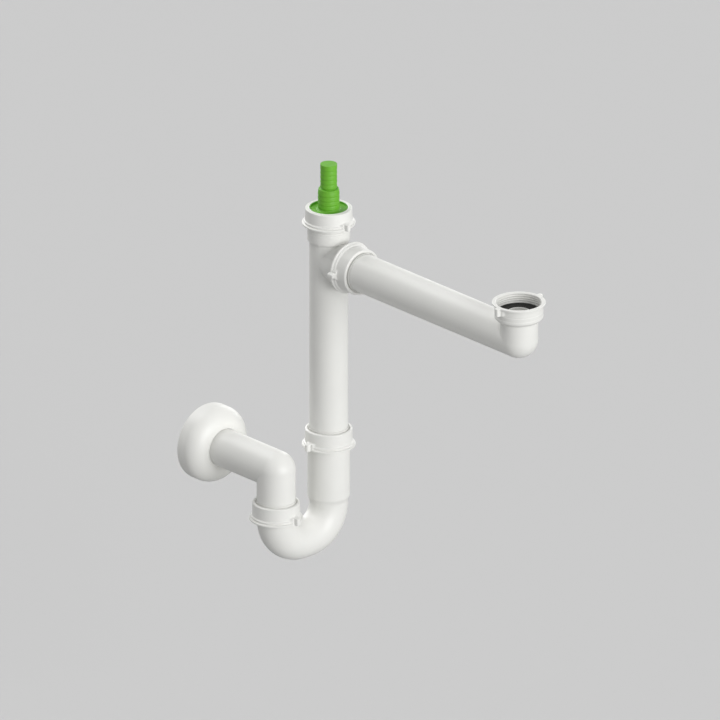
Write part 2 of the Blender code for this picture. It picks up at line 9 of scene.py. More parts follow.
import math
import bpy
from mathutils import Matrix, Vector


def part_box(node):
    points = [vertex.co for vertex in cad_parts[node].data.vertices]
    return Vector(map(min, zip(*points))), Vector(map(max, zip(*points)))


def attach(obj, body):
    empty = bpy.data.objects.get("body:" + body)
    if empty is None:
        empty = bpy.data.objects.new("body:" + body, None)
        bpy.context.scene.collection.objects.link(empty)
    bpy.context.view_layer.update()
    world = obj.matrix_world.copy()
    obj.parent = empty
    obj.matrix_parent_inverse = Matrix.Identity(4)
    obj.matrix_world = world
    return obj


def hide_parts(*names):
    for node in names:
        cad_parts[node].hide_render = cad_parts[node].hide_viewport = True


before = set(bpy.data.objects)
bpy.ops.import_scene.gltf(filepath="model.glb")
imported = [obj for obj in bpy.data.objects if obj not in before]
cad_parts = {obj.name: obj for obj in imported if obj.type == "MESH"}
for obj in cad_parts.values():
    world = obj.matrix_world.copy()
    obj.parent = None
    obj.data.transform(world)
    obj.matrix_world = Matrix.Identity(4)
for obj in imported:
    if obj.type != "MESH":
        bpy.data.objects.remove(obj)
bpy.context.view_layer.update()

from types import SimpleNamespace

import bmesh
import bpy
import numpy as np
from mathutils import Vector

bl_info = {
    "name": "Space Saving Sink Trap",
    "version": (1, 0, 0),
    "blender": (4, 5, 0),
    "location": "View3D > Sidebar > Sink Trap",
    "description": "Builds the pieces of a space saving sink trap and the stage they are shown on",
    "category": "Object",
}

MM = 0.001
X, Y, Z = np.eye(3)

# Height of a slip ring above the mouth of its socket, and room round it inside the nut
RING_SEAT, RING_ROOM = 2.1, 0.4


def low_of(node):
    """Lowest corner of a CAD node."""
    return np.array(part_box(node)[0]) / MM


def high_of(node):
    """Highest corner of a CAD node."""
    return np.array(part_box(node)[1]) / MM


def middle_of(node):
    """Middle of a CAD node's box, which is on the axis of a ring or a seal."""
    return (low_of(node) + high_of(node)) / 2


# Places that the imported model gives
RISER = np.array((0, middle_of("nozzle_seal")[1], middle_of("branch_slip_ring")[2]))
BRANCH_MOUTH = low_of("riser_tee") * Y + RISER * (X + Z)
TOP_MOUTH = RISER * (X + Y) + high_of("riser_tee") * Z
INLET = RISER * (X + Y) + high_of("trap_bend") * Z
OUTLET = middle_of("outlet_slip_ring") * (X + Y) + (low_of("outlet_slip_ring") - RING_SEAT) * Z
WALL = middle_of("wall_rosette") * (X + Z) + high_of("wall_rosette") * Y
COLLAR_TOP = high_of("sink_arm")[2]


# Properties


def length_prop(name, description, millimetres):
    """A length that a user may change."""
    return bpy.props.FloatProperty(
        name=name, description=description, default=millimetres * MM, min=0.0, unit="LENGTH"
    )


def share_prop(name, description, value):
    """A plain number from 0 to 1."""
    return bpy.props.FloatProperty(
        name=name, description=description, default=value, min=0.0, max=1.0, subtype="FACTOR"
    )


def colour_prop(name, description, value):
    """A colour in linear light."""
    return bpy.props.FloatVectorProperty(
        name=name, description=description, default=value, min=0.0, max=1.0, size=3, subtype="COLOR"
    )


def strength_prop(name, description, value):
    """Strength of a lamp."""
    return bpy.props.FloatProperty(name=name, description=description, default=value, min=0.0)


class TrapTubeSizes(bpy.types.PropertyGroup):
    """Sizes of the plain tubes and of the sockets that take them."""

    radius: length_prop("Tube radius", "Outer radius of the plain tubes", 20.0)
    wall: length_prop("Tube wall", "Wall of the tubes", 1.8)
    gap: length_prop("Sliding gap", "Gap between a tube and its socket", 0.3)
    socket: length_prop("Socket radius", "Outer radius of a socket below its thread", 21.9)
    thread: length_prop("Thread radius", "Radius on the crests of a socket's thread", 22.5)
    pitch: length_prop("Thread pitch", "Lead of the coarse thread of the union nuts", 4.0)
    depth: length_prop("Thread depth", "Depth of the coarse thread", 0.8)
    mouth: length_prop("Mouth radius", "Inner radius at the mouth of a socket", 21.6)
    cone: length_prop("Mouth cone", "Depth of the cone that takes the wedge seal", 7.0)
    collar: length_prop("Collar radius", "Radius of the collar under the sink seal", 22.2)
    throat: length_prop("Throat radius", "Radius of the lip inside the sink seal", 11.6)
    throat_lip: length_prop("Throat lip", "Height of that lip above the collar", 3.1)
    bend_turn: length_prop("Bend inner radius", "Radius inside the U bend", 12.0)
    fillet: length_prop("Branch fillet", "Blend between the riser and its branch", 0.6)


class TrapNutSizes(bpy.types.PropertyGroup):
    """Sizes of the union nuts and of the sink nut."""

    radius: length_prop("Nut radius", "Outer radius of a union nut", 24.5)
    hole: length_prop("Nut hole", "Radius of the hole in a nut's lip", 20.3)
    top_hole: length_prop("Top nut hole", "Radius of the hole in the nozzle's nut", 19.8)
    bore: length_prop("Nut bore", "Radius inside a nut, on its thread's crests", 22.8)
    lip: length_prop("Nut lip", "Thickness of a nut's lip", 3.0)
    height: length_prop("Nut height", "Height of a union nut on a tube joint", 18.4)
    top_height: length_prop("Top nut height", "Height of the nut under the hose nozzle", 17.4)
    seat: length_prop("Nut seat", "Top of a nut above the mouth that it closes", 6.9)
    top_seat: length_prop("Top nut seat", "Top of the nozzle's nut above the riser", 8.9)
    flange: length_prop("Flange", "How far the flange stands out from the nut", 3.1)
    flange_thick: length_prop("Flange thickness", "Thickness of the flange", 1.9)
    lug: length_prop("Lug reach", "How far a lug stands out from the flange", 4.1)
    lug_height: length_prop("Lug height", "Height of a lug along the nut", 7.6)
    lug_base: length_prop("Lug base", "Width of a lug at the flange", 6.8)
    lug_tip: length_prop("Lug tip", "Width of a lug at its tip", 4.2)
    sink_radius: length_prop("Sink nut radius", "Outer radius of the sink nut", 25.2)
    sink_bore: length_prop("Sink nut bore", "Radius inside the sink nut, on its thread", 23.4)
    sink_flange: length_prop("Sink nut flange", "Radius of the sink nut's flange", 27.6)
    sink_pitch: length_prop("Sink thread pitch", "Pitch of the sink nut's fine thread", 2.31)
    sink_depth: length_prop("Sink thread depth", "Depth of the sink nut's fine thread", 0.6)


class TrapNozzleSizes(bpy.types.PropertyGroup):
    """Sizes of the hose nozzle."""

    low_radius: length_prop("Lower radius", "Radius of the wide lower step", 11.2)
    low_length: length_prop("Lower length", "Length of the wide lower step", 20.0)
    high_radius: length_prop("Upper radius", "Radius of the slim upper step", 8.7)
    high_length: length_prop("Upper length", "Length of the slim upper step", 25.8)
    shoulder: length_prop("Shoulder", "Height of the slope between the steps", 2.4)
    wall: length_prop("Nozzle wall", "Wall of the nozzle", 1.8)
    pitch: length_prop("Barb pitch", "Distance between two barbs", 4.5)
    barb: length_prop("Barb depth", "Depth of a barb", 0.52)


class TrapWallSizes(bpy.types.PropertyGroup):
    """Sizes of the rosette on the wall."""

    radius: length_prop("Rosette radius", "Radius of the rosette's rim", 40.5)
    depth: length_prop("Rosette depth", "How far the rosette stands off the wall", 27.5)
    straight: length_prop("Rosette rim", "Straight part of the rosette at the wall", 11.0)
    wall: length_prop("Rosette wall", "Wall of the rosette", 1.8)
    neck: length_prop("Rosette neck", "Width of the flat ring round the tube", 2.2)


class TrapLooks(bpy.types.PropertyGroup):
    """Colours and gloss of the plastics and of the rubber."""

    white: colour_prop("White", "Colour of the moulded white plastic", (0.83, 0.83, 0.80))
    green: colour_prop("Green", "Colour of the hose nozzle", (0.15, 0.455, 0.03))
    rubber: colour_prop("Rubber", "Colour of the seals", (0.006, 0.006, 0.005))
    natural: colour_prop("Natural", "Colour of the slip rings", (0.78, 0.77, 0.71))
    white_gloss: share_prop("White roughness", "Roughness of the white plastic", 0.39)
    green_gloss: share_prop("Green roughness", "Roughness of the green plastic", 0.46)
    rubber_gloss: share_prop("Rubber roughness", "Roughness of the rubber", 0.6)
    natural_gloss: share_prop("Natural roughness", "Roughness of the slip rings", 0.48)
    grain: share_prop("Grain", "Strength of the fine surface grain", 0.16)


class TrapStage(bpy.types.PropertyGroup):
    """Floor and lamps."""

    floor_drop: length_prop("Floor drop", "Height of the sink outlet above the floor", 620.0)
    floor: colour_prop("Floor", "Colour of the floor as the camera sees it", (0.60, 0.60, 0.60))
    bounce: colour_prop("Floor bounce", "Colour the floor gives back", (0.36, 0.36, 0.36))
    backdrop: colour_prop("Backdrop", "Colour behind the floor", (0.604, 0.604, 0.604))
    key: strength_prop("Key lamp", "Strength of the lamp in front on the right", 1.2)
    low_key: strength_prop("Low lamp", "Strength of the low lamp on the right", 1.3)
    top: strength_prop("Top lamp", "Strength of the high lamp on the left", 0.95)
    rim: strength_prop("Rim lamp", "Strength of the lamp behind on the left", 1.35)
    edge: strength_prop("Edge lamp", "Strength of the lamp behind on the right", 0.9)
    ambient: strength_prop("Ambient", "Strength of the light from all round", 0.42)


def in_mm(group):
    """The lengths of a property group as plain numbers in millimetres."""
    names = type(group).__annotations__
    return SimpleNamespace(**{name: getattr(group, name) / MM for name in names})


# Outlines, routes and skins

ROUND_STEPS = 5  # steps of a rounded corner
SUPPORT = 0.3  # reach of the point that keeps a flat straight beside a rounding
AROUND = 128  # columns of a turned piece
ROW_STEP = 1.6  # most between two rows on a bend
FINE_STEP = 0.45  # most between two rows on a thread or a nut
SINK_STEP, SOCKET_STEP, SEAL_STEP = 0.3, 0.6, 0.8  # the same on the sink nut, branch and sink seal
EASE_RUN = 26.0  # run beside a tight corner over which the inside reaches the mitre
MERGE_REACH = 2e-6  # reach in metres within which the points of a seam are one
SMALL_CUT = 0.25
TINY = 1e-3


def rounded(corners):
    """Outline whose corners are rounded.

    Each corner (radius, along, cut) becomes the parabola that leaves one side at the cut's
    distance from the corner and meets the other side at the same distance; a support point
    stands a little further out on either side, so that the flats shade flat.
    """
    data = np.array(corners, float)
    spot, cut = data[:, :2], data[:, 2]
    sides = []
    for step in (1, -1):
        reach = np.roll(spot, step, axis=0) - spot
        length = np.linalg.norm(reach, axis=1)
        other = np.roll(cut, step)
        mine = np.minimum(cut, length * cut / np.maximum(cut + other, TINY * TINY))
        room = np.maximum(length - mine - np.minimum(other, length - mine), 0)
        heading = reach / length[:, None]
        start = spot + heading * mine[:, None]
        sides.append((start, start + heading * np.minimum(SUPPORT, room / 3)[:, None]))
    (start, before), (end, after) = sides
    u = np.linspace(0, 1, ROUND_STEPS + 1)[None, :, None]
    curve = (1 - u) ** 2 * start[:, None] + 2 * u * (1 - u) * spot[:, None] + u ** 2 * end[:, None]
    points = np.concatenate([before[:, None], curve, after[:, None]], axis=1).reshape(-1, 2)
    return points[np.linalg.norm(points - np.roll(points, 1, axis=0), axis=1) > TINY]


def spaced(outline, step=ROW_STEP, wanted=None):
    """The same closed outline, with points added so that none is further than step from the next.

    Where a test of the length along the route is given, only the lengths that it wants get them.
    """
    reach = np.roll(outline, -1, axis=0) - outline
    parts = np.maximum(1, np.ceil(np.linalg.norm(reach, axis=1) / step)).astype(int)
    which = np.repeat(np.arange(len(outline)), parts)
    first = np.cumsum(parts) - parts
    share = (np.arange(parts.sum()) - first[which]) / parts[which]
    points = outline[which] + share[:, None] * reach[which]
    return points if wanted is None else points[(share == 0) | wanted(points[:, 1])]


def between(outline, low=-math.inf, high=math.inf):
    """The points of an outline whose length along the route is between two lengths."""
    return outline[(outline[:, 1] > low) & (outline[:, 1] < high)]


def nearest_row(outline, corner):
    """Number of the outline's point that is nearest to a corner."""
    return int(np.argmin(np.linalg.norm(outline - corner, axis=1)))


def turn_angles(count=AROUND, dense=()):
    """Angles round a turned piece, with extra ones where a lug needs them."""
    return np.unique(np.concatenate([np.arange(count) * math.tau / count, *dense]))


class Route:
    """A flat path of straight runs, quarter bends and tight corners, read by the length along it."""

    def __init__(self, start, heading, side):
        self.spot, self.heading, self.side = start, heading, side
        self.length = 0.0
        self.legs = []
        self.corners = []

    def add_leg(self, onward, radius, pace, length):
        """Adds a leg: its length, and the radius and the length per radian of its turn."""
        self.legs.append((self.length, self.spot, self.heading, onward, radius, pace))
        self.length += length

    def run(self, length):
        """Adds a straight run."""
        self.add_leg(None, 0.0, 1.0, length)
        self.spot = self.spot + self.heading * length
        return self

    def bend(self, heading, radius):
        """Adds a quarter bend towards a new heading."""
        self.add_leg(heading, radius, radius, radius * math.pi / 2)
        self.spot = self.spot + (self.heading + heading) * radius
        self.heading = heading
        return self

    def corner(self, heading, radius):
        """Adds a tight corner: a ball of the tube's radius outside it, and a mitre inside it."""
        begin = self.length
        self.add_leg(heading, 0.0, radius, radius * math.pi / 2)
        self.corners.append((begin, self.length, self.heading, heading))
        self.heading = heading
        return self

    def at(self, along):
        """Centre and heading: a run goes straight on, a bend turns by length over radius."""
        centre = np.zeros(along.shape + (3,))
        forward = np.zeros_like(centre)
        for number, (begin, spot, heading, onward, radius, pace) in enumerate(self.legs):
            here = along >= begin if number else np.ones(along.shape, bool)
            way = (along[here] - begin)[:, None]
            if onward is None:
                centre[here], forward[here] = spot + heading * way, heading
            else:
                sine, cosine = np.sin(way / pace), np.cos(way / pace)
                centre[here] = spot + radius * (heading * sine + onward * (1 - cosine))
                forward[here] = heading * cosine + onward * sine
        return centre, forward

    def curved(self, along):
        """Whether a length is on a bend, or on or near a tight corner."""
        near = np.zeros(along.shape, bool)
        for begin, _, _, onward, radius, pace in self.legs:
            if onward is not None:
                room = 0.0 if radius else EASE_RUN
                near |= (along > begin - room) & (along < begin + pace * math.pi / 2 + room)
        return near

    def place(self, reach, angle, along):
        """Points at a reach and an angle round the path.

        A point is the centre, plus the reach times (cos angle along the side + sin angle along
        the outward direction). Inside a corner it slides along its own straight line to the
        mitre, where its distance from the corner equals its depth towards the inside.
        """
        centre, forward = self.at(along)
        out = np.cross(self.side, forward)
        across, outward = reach * np.cos(angle), reach * np.sin(angle)
        spot = centre[:, None] + across[..., None] * self.side
        points = spot + outward[..., None] * out[:, None]
        for begin, end, first, second in self.corners:
            inward = math.copysign(1.0, np.dot(np.cross(self.side, first), second))
            deep = np.maximum(inward * outward, 0)
            before = np.clip(1 + (along - begin) / EASE_RUN, 0, 1) * (along < begin)
            after = np.clip(1 - (along - end) / EASE_RUN, 0, 1) * (along > end)
            slide = after[:, None, None] * second - before[:, None, None] * first
            points = points + deep[..., None] * slide
            turning = ((along >= begin) & (along <= end))[:, None] & (deep > 0)
            mitre = spot + deep[..., None] * (second - first)
            points = np.where(turning[..., None], mitre, points)
        return points


def straight_route(start, heading, side):
    """A route that only runs straight."""
    return Route(start, heading, side).run(1.0)


def grid_faces(rows, columns, closed):
    """Corner numbers of a grid's quads: closed round its columns, and round its rows where asked."""
    row = np.arange(rows if closed else rows - 1)[:, None]
    column = np.arange(columns)[None, :]
    below, beside = (row + 1) % rows, (column + 1) % columns
    corners = [row * columns + column, below * columns + column]
    corners += [below * columns + beside, row * columns + beside]
    return np.stack(corners, axis=-1).reshape(-1, 4)


def skin(outline, route, angles=None, relief=None, closed=True):
    """Points and faces of an outline (r, s) carried along a route and turned round it.

    The reach of a point is r + relief(angle, s, r).
    """
    angles = turn_angles() if angles is None else angles
    radius, along = outline[:, :1], outline[:, 1:]
    reach = np.broadcast_to(radius, (len(outline), len(angles)))
    if relief:
        reach = reach + relief(angles[None, :], along, radius)
    points = route.place(reach, angles[None, :], outline[:, 1])
    return points.reshape(-1, 3), grid_faces(len(outline), len(angles), closed)


def new_mesh(name, parts):
    """One smooth mesh in metres of several (points, faces) parts, its seams and poles merged."""
    counts = np.cumsum([0] + [len(points) for points, _ in parts])
    points = np.concatenate([points for points, _ in parts]) * MM
    faces = np.concatenate([faces + first for (_, faces), first in zip(parts, counts)])
    mesh = bpy.data.meshes.new(name)
    mesh.vertices.add(len(points))
    mesh.vertices.foreach_set("co", points.astype(np.float32).ravel())
    mesh.loops.add(faces.size)
    mesh.loops.foreach_set("vertex_index", faces.astype(np.int32).ravel())
    mesh.polygons.add(len(faces))
    mesh.polygons.foreach_set("loop_start", np.arange(0, faces.size, 4, dtype=np.int32))
    mesh.update(calc_edges=True)
    work = bmesh.new()
    work.from_mesh(mesh)
    bmesh.ops.remove_doubles(work, verts=work.verts, dist=MERGE_REACH)
    bmesh.ops.dissolve_degenerate(work, edges=work.edges, dist=MERGE_REACH / 20)
    bmesh.ops.recalc_face_normals(work, faces=work.faces)
    work.to_mesh(mesh)
    work.free()
    mesh.polygons.foreach_set("use_smooth", np.ones(len(mesh.polygons), bool))
    return mesh


def link(name, data):
    """Links a new object with some data to the scene."""
    obj = bpy.data.objects.new(name, data)
    bpy.context.scene.collection.objects.link(obj)
    return obj


def add_piece(name, parts, finish, body, *nodes):
    """Makes the object of a piece, which rides on its body and stands for its CAD nodes."""
    obj = link(name, new_mesh(name, parts))
    obj.data.materials.append(material_of(finish))
    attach(obj, body)
    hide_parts(*nodes)


def smooth_step(low, high, value):
    """0 below low, 1 above high, and the cubic ease between them."""
    share = np.clip((value - low) / (high - low), 0, 1)
    return share * share * (3 - 2 * share)


def soft_max(one, two, blend):
    """The larger of two surfaces, with a rounding of the given size where they meet."""
    share = np.clip(0.5 + 0.5 * (one - two) / blend, 0, 1)
    return two + (one - two) * share + blend * share * (1 - share)


def thread(angle, along, first, last, pitch, depth):
    """A helical groove of the given depth, 0 on the crests, that fades out at both ends.

    Its phase is the length over the pitch less the angle over a whole turn, so it climbs one
    pitch in a turn.
    """
    phase = (along / pitch - angle / math.tau) % 1.0
    groove = smooth_step(0.28, 0.46, phase) - smooth_step(0.76, 0.94, phase)
    fade = smooth_step(first, first + pitch / 2, along) - smooth_step(last - pitch / 2, last, along)
    return -depth * groove * fade


# Materials

CLOUDING = {"white": 0.035, "green": 0.09, "natural": 0.05}  # how far a plastic's colour drifts
SHINE = {"white": 0.5, "green": 0.4, "natural": 0.4}  # specular level of a plastic


class Signal:
    """A socket's number that can be used in sums: each operation adds its Math node."""

    def __init__(self, shop, socket):
        self.shop, self.socket = shop, socket

    def _math(self, operation, other):
        return self.shop.node("ShaderNodeMath", {"operation": operation}, {0: self, 1: other})[0]

    def __add__(self, other):
        return self._math("ADD", other)

    def __mul__(self, other):
        return self._math("MULTIPLY", other)

    __radd__ = __add__
    __rmul__ = __mul__


class Shop:
    """Makes the nodes of one material or world."""

    def __init__(self, owner):
        owner.use_nodes = True
        self.owner, self.tree = owner, owner.node_tree
        self.tree.nodes.clear()

    def node(self, kind, settings, sockets):
        """Adds a node: its settings or a ramp's grey stops, then what its sockets hold or take."""
        made = self.tree.nodes.new(kind)
        for key, value in settings.items():
            if key != "stops":
                setattr(made, key, value)
                continue
            elements = made.color_ramp.elements
            while len(elements) < len(value):
                elements.new(0.5)
            for element, (place, grey) in zip(elements, value):
                element.position, element.color = place, (grey, grey, grey, 1)
        for key, value in sockets.items():
            if isinstance(value, Signal):
                self.tree.links.new(value.socket, made.inputs[key])
            else:
                made.inputs[key].default_value = value
        return [Signal(self, socket) for socket in made.outputs]

    def ramp(self, value, stops):
        """A colour ramp through (place, grey) stops."""
        return self.node("ShaderNodeValToRGB", {"stops": stops}, {"Fac": value})[0]

    def noise(self, place, scale, detail=2.0, roughness=0.5):
        """Plain noise of a scale in features per metre."""
        values = {"Vector": place, "Scale": scale, "Detail": detail, "Roughness": roughness}
        return self.node("ShaderNodeTexNoise", {"noise_dimensions": "3D"}, values)[0]

    def mix(self, share, one, two):
        """A colour between two colours."""
        colours = {"Factor": share, 6: one, 7: two}
        return self.node("ShaderNodeMix", {"data_type": "RGBA"}, colours)[2]

    def place(self, stretch=(1.0, 1.0, 1.0)):
        """The object's own coordinates, stretched."""
        spot = self.node("ShaderNodeTexCoord", {}, {})[3]
        return self.node("ShaderNodeMapping", {}, {"Vector": spot, "Scale": stretch})[0]

    def bump(self, height, strength, depth):
        """The normal of a surface whose height varies by a depth in millimetres."""
        values = {"Height": height, "Strength": strength, "Distance": depth * MM}
        return self.node("ShaderNodeBump", {}, values)[0]

    def finish(self, values):
        """Closes the material with a Principled shader."""
        shader = self.node("ShaderNodeBsdfPrincipled", {}, values)[0]
        self.node("ShaderNodeOutputMaterial", {}, {"Surface": shader})
        return self.owner


def shade(colour, factor):
    """A colour made lighter or darker, with its alpha."""
    return (*(min(1.0, part * factor) for part in colour), 1.0)


def moulded_plastic(shop, colour, roughness, grain, clouding, shine):
    """Moulded plastic: cloudy colour, flow marks in the gloss, orange peel and a fine grain."""
    place = shop.place()
    clouds = shop.noise(place, 38.0, 3.0)
    flow = shop.noise(shop.place((90.0, 22.0, 22.0)), 1.0, 4.0, 0.6)
    specks = shop.ramp(shop.noise(place, 1500.0, 1.0), [(0.0, 0.0), (0.68, 0.0), (0.8, 1.0)])
    base = shop.mix(clouds, shade(colour, 1 - clouding), shade(colour, 1 + clouding / 2))
    base = shop.mix(specks * 0.06, base, shade(colour, 0.72))
    height = shop.noise(place, 420.0) * 0.7 + shop.noise(place, 2600.0, 2.0, 0.65) * 0.3
    values = {
        "Base Color": base,
        "Roughness": roughness - 0.06 + 0.08 * flow + 0.05 * clouds,
        "Normal": shop.bump(height, grain, 0.06),
        "IOR": 1.49,
        "Specular IOR Level": shine,
    }
    return shop.finish(values)


def moulded_rubber(shop, colour, roughness, grain):
    """Black rubber: dusty bloom in patches, matt skin with a sandy grain."""
    place = shop.place()
    bloom = shop.ramp(shop.noise(place, 160.0, 4.0, 0.6), [(0.0, 0.0), (0.5, 0.1), (0.8, 1.0)])
    sand = shop.noise(place, 2200.0, 3.0, 0.7)
    values = {
        "Base Color": shop.mix(bloom, shade(colour, 0.9), shade(colour, 1.8)),
        "Roughness": roughness - 0.05 + 0.16 * bloom,
        "Normal": shop.bump(sand, min(1.0, grain * 2.5), 0.08),
        "IOR": 1.52,
        "Specular IOR Level": 0.3,
    }
    return shop.finish(values)


def material_of(finish):
    """The material of a finish, made once."""
    name = "trap_" + finish
    if name in bpy.data.materials:
        return bpy.data.materials[name]
    looks = bpy.context.scene.trap_looks
    shop = Shop(bpy.data.materials.new(name))
    values = (getattr(looks, finish), getattr(looks, finish + "_gloss"), looks.grain)
    if finish == "rubber":
        return moulded_rubber(shop, *values)
    return moulded_plastic(shop, *values, CLOUDING[finish], SHINE[finish])


# Nuts, rings and seals

END_CUT = 0.7  # chamfer at the end of a tube
THREAD_LENGTH = 12.0  # length of a socket's thread
ON_FACE = 0.02  # how near to a face's radius or height a point counts as on it
LUG_ANGLES = [np.radians(middle + np.linspace(-8, 8, 41)) % math.tau for middle in (0, 180)]


def socket_inside(tube, mouth, seat, way):
    """Outline corners of a socket's inside, from the tube's seat out to its mouth."""
    bore, wide = tube.radius - tube.wall, tube.radius + tube.gap
    return [
        (bore, seat + way * 0.2, 0.1), (wide, seat, 0.1),
        (wide, mouth + way * tube.cone, 0.5), (tube.mouth, mouth, 0.15),
    ]


def socket_thread(tube, mouth, way):
    """Relief of a socket's thread: grooves cut into the crests, on the outside only."""
    first, last = sorted((mouth + way * 0.8, mouth + way * (THREAD_LENGTH + 0.2)))

    def relief(angle, along, radius):
        outside = radius > tube.thread - 0.5
        return thread(angle, along, first, last, tube.pitch, tube.depth) * outside

    return relief


def lug_relief(nuts, flange_r, low, high):
    """Relief that raises a nut's outside to its two grip lugs.

    A lug's reach falls steeply from its tip to the flange as the angle leaves the lug's middle,
    then gently to the nut's wall, and falls to nothing above its top; its edges are soft.
    """
    tip = flange_r + nuts.lug
    soft, foot, root = 0.4, nuts.radius - 1.2, flange_r - 0.5
    half_tip, half_base = nuts.lug_tip / 2 / tip, nuts.lug_base / 2 / nuts.radius

    def relief(angle, along, radius):
        end_face = (np.abs(along - low) < ON_FACE) & (radius < flange_r - 0.35)
        outside = (radius > nuts.bore + 1.5) & ~end_face
        off = np.abs((angle + math.pi / 2) % math.pi - math.pi / 2)
        blunt = 0.5 * smooth_step(half_tip * 0.6, half_tip, off)
        steep = 1 - smooth_step(half_tip, half_tip + 1.0 / tip, off)
        gentle = 1 - smooth_step(half_base, 2 * half_base, off)
        crown = soft * smooth_step(low - 0.01, low + soft, along)
        edge = soft * (1 - smooth_step(0, 0.6, high - along))
        top = 1 - smooth_step(high - 0.3, high + 0.3, along)
        block = foot + (root - foot) * gentle * top
        block = block + (tip - blunt - edge - soft + crown - root) * steep * top
        raised = soft_max(block, radius, soft)
        return (raised - radius) * outside * (gentle > 0) * (along < high + 0.31)

    return relief


def plain_lip(nuts, top):
    """Outline corners of the nozzle nut's lip: nearly flat, with a faint bead at its hole."""
    hole = nuts.top_hole
    return [
        (hole, top, 0.2), (hole + 0.4, top + 0.3, 0.2), (hole + 1.1, top + 0.1, 0.3),
        (nuts.radius - 0.4, top - 0.3, 0.7),
    ]


def collared_lip(nuts, top):
    """Outline corners of a tube nut's lip: a thin collar on the tube, a groove and a raised bead."""
    hole = nuts.hole
    return [
        (hole, top + 2.2, 0.15), (hole + 0.6, top + 2.2, 0.15), (hole + 0.6, top + 1.6, 0.1),
        (hole + 0.15, top + 1.3, 0.1), (hole + 0.15, top - 1.5, 0.1), (hole + 1.1, top - 1.5, 0.1),
        (hole + 1.4, top + 0.4, 0.15), (hole + 2.2, top + 0.4, 0.3),
        (nuts.radius - 0.2, top - 0.3, 0.7),
    ]


def union_nut(tube, nuts, route, height, top, lip, turn=0.0, groove=0.6):
    """Skin of a union nut that stands on a socket's mouth at the start of its route.

    Its outline runs over the lip and down its outside to the two beads of the flange, and back
    up its threaded bore; the grip lugs are raised from the outside, at a turn from the side.
    """
    low, ceiling = top - height, top - nuts.lip
    wide, flange_r = nuts.radius, nuts.radius + nuts.flange
    corners = [
        *lip,
        (wide, low + 5.0, 0.5), (wide + 1.3, low + 3.9, 0.3), (wide + 1.4, low + 3.1, 0.2),
        (wide + 1.4 - groove, low + 2.6, 0.15), (wide + 1.5 - groove, low + 2.2, 0.15),
        (flange_r - 0.1, low + 1.5, 0.3), (flange_r, low, 0.3),
        (nuts.bore + 0.5, low, 0.2), (nuts.bore, low + 0.6, 0.3),
        (nuts.bore, ceiling, 0.2), (lip[0][0], ceiling, 0.2),
    ]
    lugs = lug_relief(nuts, flange_r, low, low + nuts.lug_height - (nuts.height - height))

    def relief(angle, along, radius):
        inside = np.abs(radius - nuts.bore) < ON_FACE
        turns = thread(angle, along, low + 1.0, ceiling - 0.3, tube.pitch, tube.depth)
        return lugs(angle - turn, along, radius) - turns * inside

    lug_angles = [(angles + turn) % math.tau for angles in LUG_ANGLES]
    return skin(spaced(rounded(corners), FINE_STEP), route, turn_angles(AROUND, lug_angles), relief)


def slip_ring(tube, nuts, route):
    """Skin of the thin ring between a nut's lip and the wedge seal."""
    wide, inner = nuts.bore - RING_ROOM, tube.radius + tube.gap
    low, high = RING_SEAT, RING_SEAT + 1.5
    corners = [(wide, low), (wide, high), (inner, high), (inner, low)]
    return skin(rounded([(*corner, SMALL_CUT) for corner in corners]), route)


def wedge_seal(tube, nuts, route):
    """Skin of the wedge seal: a flat rim on the mouth and a cone into it, with a fine lip."""
    wide, inner, depth = nuts.bore - RING_ROOM, tube.radius + tube.gap, 3.0
    rim = tube.mouth - 0.25
    foot_r = rim - depth * (tube.mouth - inner) / tube.cone
    corners = [
        (wide, 0.3, SMALL_CUT), (wide, 1.8, SMALL_CUT), (inner + 0.5, 1.8, SMALL_CUT),
        (inner, 1.3, SMALL_CUT), (inner, -depth, 0.15), (foot_r, -depth, 0.15), (rim, 0.3, 0.2),
    ]
    return skin(rounded(corners), route)


# Operators


class TRAP_OT_arm(bpy.types.Operator):
    """Build the stub with its collar, the tight elbow and the long level arm"""

    bl_idname = "trap.arm"
    bl_label = "Sink Arm"

    def execute(self, context):
        tube = in_mm(context.scene.trap_tube)
        radius, throat, lip = tube.radius, tube.throat, tube.throat_lip
        route = Route(Z * COLLAR_TOP, -Z, X).run(COLLAR_TOP - RISER[2])
        route.corner(Y, radius).run(high_of("sink_arm")[1])
        bore, end = radius - tube.wall, route.length
        corners = [
            (tube.collar, 0, 0.3), (tube.collar, 2.6, 0.4), (radius, 2.9, 0.4),
            (radius, end - END_CUT, 0.4), (radius - END_CUT, end, 0.2), (bore, end, 0.2),
            (bore, 8.0, 1.0), (throat, 4.5, 1.0), (throat, -lip, 0.3),
            (throat + 0.8, -lip, 0.3), (throat + 0.8, 0, 0.2),
        ]
        outline = spaced(rounded(corners), wanted=route.curved)
        add_piece("arm_moulding", [skin(outline, route)], "white", "arm", "sink_arm")
        return {"FINISHED"}


